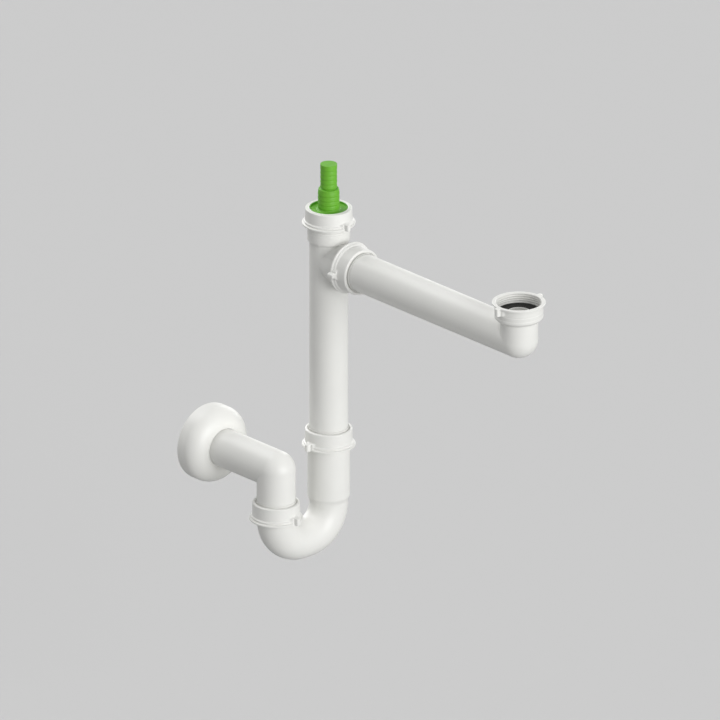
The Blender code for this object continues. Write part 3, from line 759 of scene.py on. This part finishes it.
class TRAP_OT_sink_joint(bpy.types.Operator):
    """Build the sink nut with its fine thread and the dished seal in it"""

    bl_idname = "trap.sink_joint"
    bl_label = "Sink Nut and Seal"

    def execute(self, context):
        tube, nuts = in_mm(context.scene.trap_tube), in_mm(context.scene.trap_nuts)
        route = straight_route(np.zeros(3), Z, X)
        top, low = high_of("sink_nut")[2], low_of("sink_nut")[2]
        wide, flange_r, bore, hole = nuts.sink_radius, nuts.sink_flange, nuts.sink_bore, nuts.hole
        rim, lip = top - nuts.flange_thick, low + 2.4
        corners = [
            (hole, low + 0.3, 0.2), (hole + 0.4, low, 0.2), (wide - 3.3, low, 0.4),
            (wide - 0.2, low + 3.0, 0.6), (wide, low + 3.9, 0.3), (wide, low + 5.7, 0.1),
            (wide - 0.2, low + 5.9, 0.1), (wide - 0.2, low + 7.8, 0.1), (wide, low + 8.0, 0.1),
            (wide, low + 10.0, 0.1), (wide - 0.2, low + 10.2, 0.1), (wide - 0.2, rim - 2.6, 1.5),
            (wide + 0.4, rim - 0.1, 0.4), (flange_r, rim, 0.25), (flange_r, top - 0.2, 0.2),
            (flange_r - 0.6, top, 0.25), (bore + 0.6, top, 0.25), (bore, top - 0.7, 0.3),
            (bore, lip, 0.2), (hole, lip, 0.2),
        ]
        lugs = lug_relief(nuts, flange_r, -top, nuts.lug_height + 1.0 - top)

        def relief(angle, along, radius):
            """The lugs hang from the flange, so they read the length downwards."""
            inside = np.abs(radius - bore) < ON_FACE
            turns = thread(angle, along, lip + 0.5, top - 0.6, nuts.sink_pitch, nuts.sink_depth)
            return lugs(angle, -along, radius) - turns * inside

        outline = spaced(rounded(corners), SINK_STEP)
        nut = skin(outline, route, turn_angles(AROUND, LUG_ANGLES), relief)
        add_piece("sink_nut_moulding", [nut], "white", "sink_nut", "sink_nut")

        low, hole, wide = low_of("sink_seal")[2], tube.throat + 1.0, tube.collar
        corners = [
            (wide, 0, 0.5), (wide, low, 0.4), (hole, low, 0.4), (hole, -0.9, 0.3),
            (wide - 2.6, -0.1, 0.8), (wide - 2.0, 0, 0.4),
        ]
        seal = skin(spaced(rounded(corners), SEAL_STEP), route)
        add_piece("sink_seal_rubber", [seal], "rubber", "arm", "sink_seal")
        return {"FINISHED"}


def settle(points, field):
    """Moves points onto a field's zero surface, by its value over its slope, along its slope."""
    small = 0.01
    for _ in range(8):
        value = field(points)
        slope = np.stack([(field(points + small * axis) - value) / small for axis in (X, Y, Z)], -1)
        steep = np.maximum((slope ** 2).sum(-1), 0.05)
        points = points - (value / steep)[..., None] * slope
    return points


# Columns of the riser, columns from the middle of a window to its side, rows from the window to
# the crease, and half the window's height
SIDE_TURNS, HALF_WINDOW, EASE_ROWS, WINDOW_REACH = 96, 24, 14, 27.0
SOCKET_SLOPE = (20.2, 21.8)  # heights between which the riser widens to its top socket
HUB_DRAFT, HUB_LENGTH = 1.5, 22.0  # how the branch widens from inside the riser to its socket
RING_Y, HOLE_RING_Y = 30.0, 22.0  # where the branch's own skin begins, outside and inside
BRANCH_SEAT = 19.3  # depth of the arm's seat in the branch
FAINT_RINGS = 9.0  # stretch below the top thread that shows faint grooves


def window_border(rows, radius_at):
    """The border of the window in the upright's wall: its spots in one closed loop, and the
    angle round the branch at which each one stands."""
    across = np.arange(-HALF_WINDOW, HALF_WINDOW) * math.tau / SIDE_TURNS
    level = np.ones(len(across))
    side = np.full(len(rows) - 1, HALF_WINDOW * math.tau / SIDE_TURNS)
    angle = np.concatenate([across, side, -across, -side])
    height = np.concatenate([level * rows[0], rows[:-1], level * rows[-1], rows[:0:-1]])
    radius = radius_at(height)
    spots = np.stack([radius * np.sin(angle), -radius * np.cos(angle), height], -1)
    return spots, np.arctan2(height, radius * angle)


def branch_collar(rows, radius_at, branch_at, ring_y, blend, phi):
    """Grid from a window in the upright, over the crease, to a ring on the branch.

    Straight lines run from the border to the crease and from the crease to the ring, closest
    together at the crease, and every point is then settled on the rounded union of the two
    tubes: their distances are the length across the axis less the radius there.
    """
    border, _ = window_border(rows, radius_at)
    crease_y = np.full(len(phi), ring_y / 2)
    for _ in range(12):
        reach = branch_at(crease_y)
        across = reach * np.cos(phi)
        crease_y = np.sqrt(np.maximum(radius_at(reach * np.sin(phi)) ** 2 - across ** 2, TINY ** 2))

    def ring_at(along):
        """The branch's outline at a distance from the upright's axis."""
        reach = branch_at(along)
        return np.stack([reach * np.cos(phi), -along, reach * np.sin(phi)], -1)

    crease, ring = ring_at(crease_y), ring_at(np.full(len(phi), ring_y))
    u = np.linspace(0, 1, EASE_ROWS + 1)[:, None, None]
    outer = border + (crease - border) * (1 - (1 - u) ** 2)
    inner = crease + (ring - crease) * u ** 2
    points = np.concatenate([outer, inner[1:]])

    def field(spot):
        """The smaller of the two distances, rounded by the blend where they are alike."""
        upright = np.hypot(spot[..., 0], spot[..., 1]) - radius_at(spot[..., 2])
        branch = np.hypot(spot[..., 0], spot[..., 2]) - branch_at(-spot[..., 1])
        return -soft_max(-upright, -branch, blend)

    points[1:-1] = settle(points[1:-1], field)
    return points.reshape(-1, 3), grid_faces(len(points), len(phi), False)


def windowed_upright(outline, windows, relief):
    """The upright's closed skin, without the faces inside its windows.

    A window is a pair of (radius, height) corners, and is open where the upright faces the branch.
    """
    angles = np.arange(SIDE_TURNS) * math.tau / SIDE_TURNS
    radius, along = outline[:, :1], outline[:, 1:]
    reach = radius + relief(angles[None], along, radius)
    height = np.broadcast_to(along, reach.shape)
    points = np.stack([reach * np.sin(angles), -reach * np.cos(angles), height], -1)
    faces = grid_faces(len(outline), SIDE_TURNS, True)
    column = (faces[:, 0] % SIDE_TURNS + 0.5) % SIDE_TURNS
    near = np.minimum(column, SIDE_TURNS - column) < HALF_WINDOW
    middle = (outline + np.roll(outline, -1, axis=0))[faces[:, 0] // SIDE_TURNS] / 2
    cut = np.zeros(len(faces), bool)
    for least, most in windows:
        cut |= ((middle > least) & (middle < most)).all(axis=1)
    return points.reshape(-1, 3), faces[~(cut & near)]


class TRAP_OT_riser(bpy.types.Operator):
    """Build the upright tube with its threaded top and its side socket for the arm"""

    bl_idname = "trap.riser"
    bl_label = "Riser Tee"

    def execute(self, context):
        tube = in_mm(context.scene.trap_tube)
        radius, bore, wide = tube.radius, tube.radius - tube.wall, tube.socket
        top, foot = (TOP_MOUTH - RISER)[2], low_of("riser_tee")[2] - RISER[2]
        low, high = -WINDOW_REACH, WINDOW_REACH

        def radius_at(height):
            """Radius of the upright: the tube's, and the top socket's above a short slope."""
            return radius + (wide - radius) * smooth_step(*SOCKET_SLOPE, height)

        def branch_at(along):
            """Radius of the branch: a hub that widens from inside the upright to the socket."""
            return radius - HUB_DRAFT + (wide - radius + HUB_DRAFT) * np.clip(along / HUB_LENGTH, 0, 1)

        rows = np.concatenate(
            [np.linspace(low, 18.8, 29), np.linspace(19.5, 22.5, 9), np.linspace(23.7, high, 3)]
        )
        hole_rows = rows * bore / radius
        thread_foot = top - THREAD_LENGTH
        upper = [
            (bore, top, 0.2), (tube.thread - 0.4, top, 0.2), (tube.thread, top - 0.6, 0.2),
            (tube.thread, thread_foot, 0.3), (wide, thread_foot - 0.9, 0.3),
            (wide, high, 0), (bore, high, 0),
        ]
        lower = [
            (bore, low, 0), (radius, low, 0), (radius, foot + END_CUT, 0.4),
            (radius - END_CUT, foot, 0.2), (bore, foot, 0.2),
        ]
        upper = np.roll(between(rounded(upper), low=high + TINY), 1, axis=0)
        lower = np.roll(between(rounded(lower), high=low - TINY), -1, axis=0)
        wall = np.stack([radius_at(rows), rows], -1)[::-1]
        hole_wall = np.stack([np.full(len(hole_rows), bore), hole_rows], -1)
        root = thread_foot - FAINT_RINGS
        outline = np.concatenate([upper, wall, lower, hole_wall])
        outline = spaced(outline, FINE_STEP, lambda height: height > root)
        windows = [
            ((radius - 0.5, low), (radius + 3, high)),
            ((bore - 1, hole_rows[0]), (bore + 0.5, hole_rows[-1])),
        ]
        turns = socket_thread(tube, top, -1)

        def relief(angle, along, reach):
            """The thread's grooves, and three faint ones below it."""
            faint = thread(angle, along, root + 2.2, thread_foot, 2.8, 0.16)
            return turns(angle, along, reach) + faint * (np.abs(reach - wide) < ON_FACE)

        _, phi = window_border(rows, radius_at)
        stop, mouth = bore - 0.9, (RISER - BRANCH_MOUTH)[1]
        seat, hole = mouth - BRANCH_SEAT, radius + tube.gap
        branch = [
            (wide, RING_Y, 0), (wide, mouth - THREAD_LENGTH - 0.6, 0.3),
            (tube.thread, mouth - THREAD_LENGTH, 0.3), (tube.thread, mouth - 0.8, SMALL_CUT),
            (tube.thread - 0.3, mouth, SMALL_CUT), (tube.mouth, mouth, 0.15),
            (hole, mouth - tube.cone, 0.5), (hole, seat, 0.1),
            (stop, seat - 0.1, 0.1), (stop, HOLE_RING_Y, 0),
        ]
        branch = spaced(rounded(branch), SOCKET_STEP)
        branch = np.roll(branch, -nearest_row(branch, (wide, RING_Y)), axis=0)
        branch = branch[: nearest_row(branch, (stop, HOLE_RING_Y)) + 1]
        route = straight_route(np.zeros(3), -Y, X)
        skins = [
            windowed_upright(outline, windows, relief),
            branch_collar(rows, radius_at, branch_at, RING_Y, tube.fillet, phi),
            branch_collar(
                hole_rows, lambda z: np.full(np.shape(z), bore), lambda y: np.full(np.shape(y), stop),
                HOLE_RING_Y, 0.4, phi,
            ),
            skin(branch, route, -phi, socket_thread(tube, mouth, -1), closed=False),
        ]
        skins = [(points + RISER, faces) for points, faces in skins]
        add_piece("riser_moulding", skins, "white", "riser", "riser_tee")
        return {"FINISHED"}


class TRAP_OT_tube_joints(bpy.types.Operator):
    """Build the union nut, slip ring and wedge seal of each of the three tube joints"""

    bl_idname = "trap.tube_joints"
    bl_label = "Tube Joints"

    def execute(self, context):
        tube, nuts = in_mm(context.scene.trap_tube), in_mm(context.scene.trap_nuts)
        lip = collared_lip(nuts, nuts.seat)
        joints = (
            ("branch", BRANCH_MOUTH, -Y, X, 0.0, -0.4),
            ("inlet", INLET, Z, X, 0.0, 0.6),
            ("outlet", OUTLET, Z, Y, math.radians(-6), 0.6),
        )
        for joint, mouth, heading, side, turn, groove in joints:
            route = straight_route(mouth, heading, side)
            nut = union_nut(tube, nuts, route, nuts.height, nuts.seat, lip, turn, groove)
            ring, wedge = slip_ring(tube, nuts, route), wedge_seal(tube, nuts, route)
            nut_name, ring_body, seal_body = joint + "_nut", joint + "_ring", joint + "_seal"
            add_piece(nut_name + "_moulding", [nut], "white", nut_name, nut_name)
            add_piece(ring_body + "_moulding", [ring], "natural", ring_body, joint + "_slip_ring")
            add_piece(joint + "_wedge_rubber", [wedge], "rubber", seal_body, joint + "_wedge_seal")
        return {"FINISHED"}


def barbed(radius, foot, length, pitch, depth):
    """Outline rows of a barbed stretch from its top down.

    The radius grows down each barb with the square root of the way along it, then falls back
    over the last fifth of it.
    """
    count = max(1, round(length / pitch))
    way = np.linspace(0, count, count * 12 + 1)[:-1]
    share = way % 1.0
    swell = np.sqrt(np.clip(share / 0.8, 0, 1)) - smooth_step(0.8, 1.0, share)
    height = foot + length * (1 - way / count)
    return np.stack([radius - depth + depth * swell, height], -1)


# The nozzle's heights: its seat on the seal, its flange, the disc in the nut and the hub on it
NOZZLE_SEAT, FLANGE_HEIGHT, DISC_HEIGHT, HUB_HEIGHT = 3.1, 2.5, 1.4, 1.6
# Plain stretches of the slim step above the shoulder and below the tip, and the tip's rounding
PLAIN_FOOT, PLAIN_TIP, TIP_EDGE = 1.0, 4.0, 0.35


class TRAP_OT_nozzle(bpy.types.Operator):
    """Build the hose nozzle, its nut and the flat seal under its flange"""

    bl_idname = "trap.nozzle"
    bl_label = "Hose Nozzle"

    def execute(self, context):
        tube, nuts = in_mm(context.scene.trap_tube), in_mm(context.scene.trap_nuts)
        sizes = in_mm(context.scene.trap_nozzle)
        route = straight_route(TOP_MOUTH, Z, Y)
        flange_top = NOZZLE_SEAT + FLANGE_HEIGHT
        disc_top = flange_top + DISC_HEIGHT
        low_foot = disc_top + HUB_HEIGHT
        high_foot = low_foot + sizes.low_length + sizes.shoulder
        tip = high_foot + sizes.high_length
        ceiling = tip - sizes.wall
        wide, disc = nuts.bore - RING_ROOM, nuts.top_hole - 0.15
        slim, stout = sizes.high_radius, sizes.low_radius
        slim_root, stout_root = slim - sizes.barb, stout - sizes.barb
        slim_bore, stout_bore = slim_root - sizes.wall, stout_root - sizes.wall

        turn = np.radians(np.linspace(0, 90, 7))
        centre = np.array((slim - TIP_EDGE, tip - TIP_EDGE))
        tip_edge = centre + TIP_EDGE * np.stack([np.sin(turn), np.cos(turn)], -1)
        rings = np.stack([np.linspace(0, slim - TIP_EDGE, 8)[:-1], np.full(7, tip)], -1)
        high_barbs = barbed(slim, high_foot, sizes.high_length - 1.2, sizes.pitch, sizes.barb)
        high_barbs = between(high_barbs, high_foot + PLAIN_FOOT, tip - PLAIN_TIP)
        low_barbs = barbed(stout, low_foot, sizes.low_length - 0.9, sizes.pitch, sizes.barb)
        above, below = high_foot + 0.9, high_foot - sizes.shoulder - 0.4
        shoulder = rounded([
            (slim, above, 0), (slim_root, high_foot - 0.1, 0.3),
            (slim_root - 0.3, high_foot - 0.4, 0.15), (slim_root, high_foot - 0.8, 0.15),
            (stout_root - 0.6, high_foot - 0.8, 0.4), (stout_root, high_foot - 1.5, 0.4),
            (stout_root, below, 0), (0, below, 0), (0, above, 0),
        ])
        shoulder = between(shoulder, below + 0.05, above - 0.05)
        shoulder = shoulder[shoulder[:, 0] > 1.0]
        base = rounded([
            (stout_root, low_foot + 0.6, 0.5), (stout + 0.6, disc_top, 1.4),
            (disc - 0.7, disc_top, 0.4), (disc - 0.6, nuts.top_seat, 0.2),
            (disc, nuts.top_seat, 0.2), (disc, flange_top, 0.2), (wide, flange_top, 0.3),
            (wide, NOZZLE_SEAT, 0.3), (stout_bore, NOZZLE_SEAT, 0.3),
            (stout_bore, high_foot - sizes.shoulder - 1.6, 0.6), (slim_bore, high_foot, 0.6),
            (slim_bore, ceiling, 0.5), (0.4, ceiling, 0.1),
        ])
        base = base[nearest_row(base, (stout_root, low_foot + 0.6)):]
        pole = np.array([(0.0, ceiling)])
        outline = np.concatenate([rings, tip_edge, high_barbs, shoulder, low_barbs, base, pole])
        nozzle = skin(outline, route, closed=False)
        add_piece("nozzle_moulding", [nozzle], "green", "nozzle", "hose_nozzle")

        lip = plain_lip(nuts, nuts.top_seat)
        nut = union_nut(tube, nuts, route, nuts.top_height, nuts.top_seat, lip)
        add_piece("appliance_nut_moulding", [nut], "white", "appliance_nut", "appliance_nut")

        hole, low, high = wide - 5.5, 0.3, NOZZLE_SEAT - 0.3
        corners = [(wide, low), (wide, high), (hole, high), (hole, low)]
        seal = skin(rounded([(*corner, 0.4) for corner in corners]), route)
        add_piece("nozzle_seal_rubber", [seal], "rubber", "riser", "nozzle_seal")
        return {"FINISHED"}


# The bend's legs from each socket's mouth, and how deep its sockets take the tubes
INLET_LEG, OUTLET_LEG = 73.65, 11.55
INLET_STOP, OUTLET_STOP = 64.0, 9.9


class TRAP_OT_bend(bpy.types.Operator):
    """Build the U shaped trap bend with its long inlet socket and short outlet socket"""

    bl_idname = "trap.bend"
    bl_label = "Trap Bend"

    def execute(self, context):
        tube = in_mm(context.scene.trap_tube)
        radius, wide, crest = tube.radius, tube.socket, tube.thread
        turn = radius + tube.bend_turn
        run = INLET[0] - OUTLET[0] - 2 * turn
        route = Route(INLET, -Z, Y).run(INLET_LEG).bend(-X, turn).run(run).bend(Z, turn)
        end = route.run(OUTLET_LEG).length
        corners = [
            (crest - 0.3, 0, SMALL_CUT), (crest, 0.8, SMALL_CUT), (crest, THREAD_LENGTH, 0.3),
            (wide, THREAD_LENGTH + 0.6, 0.3), (wide, INLET_STOP + 3.0, 1.0),
            (radius, INLET_STOP + 7.0, 2.4), (radius, end - 11.4, 0.4),
            (wide, end - 10.0, 0.3), (crest, end - 9.4, 0.2),
            (crest, end - 0.8, SMALL_CUT), (crest - 0.3, end, SMALL_CUT),
            *reversed(socket_inside(tube, end, end - OUTLET_STOP, -1)),
            *socket_inside(tube, 0, INLET_STOP, 1),
        ]
        outline = spaced(rounded(corners), wanted=route.curved)
        inlet_end, outlet_start = THREAD_LENGTH + 1.0, end - 10.0
        outline = spaced(outline, FINE_STEP, lambda s: (s < inlet_end) | (s > outlet_start))
        inlet, outlet = socket_thread(tube, 0, 1), socket_thread(tube, end, -1)

        def relief(angle, along, reach):
            """The inlet's thread on the first half of the route, the outlet's on the rest."""
            first_half = along < end / 2
            return np.where(first_half, inlet(angle, along, reach), outlet(angle, along, reach))

        bend = skin(outline, route, relief=relief)
        add_piece("bend_moulding", [bend], "white", "bend", "trap_bend")
        return {"FINISHED"}


class TRAP_OT_outlet(bpy.types.Operator):
    """Build the outlet elbow, whose level run goes into the wall"""

    bl_idname = "trap.outlet"
    bl_label = "Outlet Elbow"

    def execute(self, context):
        tube = in_mm(context.scene.trap_tube)
        radius, bore, foot = tube.radius, tube.radius - tube.wall, low_of("outlet_elbow") * Z
        route = Route(OUTLET * (X + Y) + foot, Z, X).run((WALL - foot)[2])
        route.corner(Y, radius).run((high_of("outlet_elbow") - OUTLET)[1])
        end = route.length
        corners = [
            (radius - END_CUT, 0, 0.2), (radius, END_CUT, 0.4), (radius, end - END_CUT, 0.4),
            (radius - END_CUT, end, 0.2), (bore, end, 0.2), (bore, 0, 0.2),
        ]
        outline = spaced(rounded(corners), wanted=route.curved)
        add_piece("outlet_moulding", [skin(outline, route)], "white", "outlet", "outlet_elbow")
        return {"FINISHED"}


class TRAP_OT_rosette(bpy.types.Operator):
    """Build the rounded cup over the hole in the wall"""

    bl_idname = "trap.rosette"
    bl_label = "Wall Rosette"

    def execute(self, context):
        tube, sizes = in_mm(context.scene.trap_tube), in_mm(context.scene.trap_wall)
        radius, straight, depth = sizes.radius, sizes.straight, sizes.depth
        hole, inner, back_face = tube.radius + tube.gap, radius - sizes.wall, depth - sizes.wall
        neck = hole + sizes.neck
        turn = np.radians(np.linspace(0, 90, 33))

        def quarter(start, end):
            """Quarter ellipse that leaves start along the axis and meets end square to it."""
            r = end[0] + (start[0] - end[0]) * np.cos(turn)
            return np.stack([r, start[1] + (end[1] - start[1]) * np.sin(turn)], -1)

        back = rounded([
            (inner, straight, 0), (inner, 0, 0.3), (radius - 0.25, 0, 0.3),
            (radius - 0.25, 1.4, 0.12), (radius, 1.7, 0.12), (radius, straight, 0),
        ])
        back = between(back, high=straight - TINY)
        dome = quarter((radius, straight), (neck, depth))
        mouth = rounded([(neck, depth, 0), (hole, depth, 0.4), (hole, back_face, 0.2)])
        mouth = mouth[mouth[:, 0] < neck - TINY]
        inside = quarter((inner, straight), (hole, back_face))[::-1]
        outline = np.concatenate([back, dome, mouth, inside[1:]])
        cup = skin(outline, straight_route(WALL, -Y, X), turn_angles(160))
        add_piece("rosette_moulding", [cup], "white", "rosette", "wall_rosette")
        return {"FINISHED"}


# The photograph's view is a parallel one: its angles, the width that it shows, and how far its
# middle lies to the right of and below the riser's branch
CAMERA_AZIMUTH, CAMERA_ELEVATION = math.radians(-42), math.radians(22.3)
PHOTO_WIDTH, PHOTO_RIGHT, PHOTO_DOWN = 736.57, 32.02, 103.9
CAMERA_DISTANCE, FLOOR_REACH = 6000.0, 9000.0
# Each lamp's azimuth to the right of the camera, its elevation and its width, in degrees
LAMPS = {
    "key": (35, 15, 40), "low_key": (50, 5, 40), "top": (-125, 60, 30), "rim": (-150, 18, 40),
    "edge": (155, 5, 40),
}


def view_axes():
    """Right, up and back directions of the photograph's view."""
    right = np.array((math.cos(CAMERA_AZIMUTH), math.sin(CAMERA_AZIMUTH), 0))
    away = np.array((-right[1], right[0], 0))
    back = -away * math.cos(CAMERA_ELEVATION) + Z * math.sin(CAMERA_ELEVATION)
    return right, np.cross(back, right), back


def aim(obj, toward):
    """Turns a lamp or camera so that it looks along a direction."""
    obj.rotation_euler = Vector(toward).to_track_quat("-Z", "Y").to_euler()


def add_sun(name, strength, azimuth, elevation, width):
    """A wide soft sun, at an azimuth to the right of the camera and an elevation above the floor."""
    right, _, back = view_axes()
    level = back * (X + Y) / np.linalg.norm(back * (X + Y))
    turn, rise = math.radians(azimuth), math.radians(elevation)
    side = level * math.cos(turn) + right * math.sin(turn)
    lamp = bpy.data.lights.new(name, "SUN")
    lamp.energy = strength
    lamp.angle = math.radians(width)
    aim(link(name, lamp), -(side * math.cos(rise) + Z * math.sin(rise)))


def floor_paint(stage):
    """Matt floor, with one colour for the camera and a darker one for the light it gives back."""
    shop = Shop(bpy.data.materials.new("floor_paint"))
    seen = shop.node("ShaderNodeLightPath", {}, {})[0]
    paint = shop.mix(seen, (*stage.bounce, 1), (*stage.floor, 1))
    return shop.finish({"Base Color": paint, "Roughness": 1.0, "Specular IOR Level": 0.0})


def studio_light(stage):
    """World with a plain light all round, and a plain colour for the camera."""
    world = bpy.data.worlds.new("studio")
    shop = Shop(world)
    seen = shop.node("ShaderNodeLightPath", {}, {})[0]
    values = {"Color": (1, 1, 1, 1), "Strength": stage.ambient}
    light = shop.node("ShaderNodeBackground", {}, values)[0]
    shown = shop.node("ShaderNodeBackground", {}, {"Color": (*stage.backdrop, 1)})[0]
    mixed = shop.node("ShaderNodeMixShader", {}, {0: seen, 1: light, 2: shown})[0]
    shop.node("ShaderNodeOutputWorld", {}, {"Surface": mixed})
    return world


class TRAP_OT_stage(bpy.types.Operator):
    """Build the pale floor, the soft lamps and the camera"""

    bl_idname = "trap.stage"
    bl_label = "Stage"

    def execute(self, context):
        scene = context.scene
        stage = scene.trap_stage
        sides = np.array([(-1, -1), (1, -1), (1, 1), (-1, 1)]) * FLOOR_REACH
        points = np.insert(sides, 2, -stage.floor_drop / MM, axis=1)
        floor = link("floor", new_mesh("floor", [(points, np.arange(4)[None])]))
        floor.data.materials.append(floor_paint(stage))

        right, up, back = view_axes()
        target = RISER + right * PHOTO_RIGHT - up * PHOTO_DOWN
        lens = bpy.data.cameras.new("camera")
        lens.type = "ORTHO"
        lens.ortho_scale = PHOTO_WIDTH * MM
        camera = link("camera", lens)
        camera.location = (target + back * CAMERA_DISTANCE) * MM
        aim(camera, -back)
        scene.camera = camera

        for name, place in LAMPS.items():
            add_sun(name + "_lamp", getattr(stage, name), *place)
        scene.world = studio_light(stage)
        scene.view_settings.view_transform = "Standard"
        return {"FINISHED"}


# The add-on

GROUPS = {
    "trap_tube": TrapTubeSizes,
    "trap_nuts": TrapNutSizes,
    "trap_nozzle": TrapNozzleSizes,
    "trap_wall": TrapWallSizes,
    "trap_looks": TrapLooks,
    "trap_stage": TrapStage,
}
OPERATORS = (
    TRAP_OT_arm, TRAP_OT_sink_joint, TRAP_OT_riser, TRAP_OT_tube_joints, TRAP_OT_nozzle,
    TRAP_OT_bend, TRAP_OT_outlet, TRAP_OT_rosette, TRAP_OT_stage,
)


class TRAP_PT_panel(bpy.types.Panel):
    """Lists the pieces of the sink trap in the sidebar"""

    bl_idname = "TRAP_PT_panel"
    bl_label = "Sink Trap"
    bl_space_type = "VIEW_3D"
    bl_region_type = "UI"
    bl_category = "Sink Trap"

    def draw(self, context):
        for operator in OPERATORS:
            self.layout.operator(operator.bl_idname)
        for name, group in GROUPS.items():
            box = self.layout.box()
            for prop in group.__annotations__:
                box.prop(getattr(context.scene, name), prop)


def register():
    """Registers the classes and hangs the properties on the scene."""
    for cls in (*GROUPS.values(), *OPERATORS, TRAP_PT_panel):
        bpy.utils.register_class(cls)
    for name, group in GROUPS.items():
        setattr(bpy.types.Scene, name, bpy.props.PointerProperty(type=group))


def unregister():
    """Takes the properties and classes away again."""
    for name in GROUPS:
        delattr(bpy.types.Scene, name)
    for cls in reversed((*GROUPS.values(), *OPERATORS, TRAP_PT_panel)):
        bpy.utils.unregister_class(cls)


def main():
    """Builds the pieces and the stage."""
    register()
    for operator in OPERATORS:
        family, name = operator.bl_idname.split(".")
        getattr(getattr(bpy.ops, family), name)()


if __name__ == "__main__":
    main()
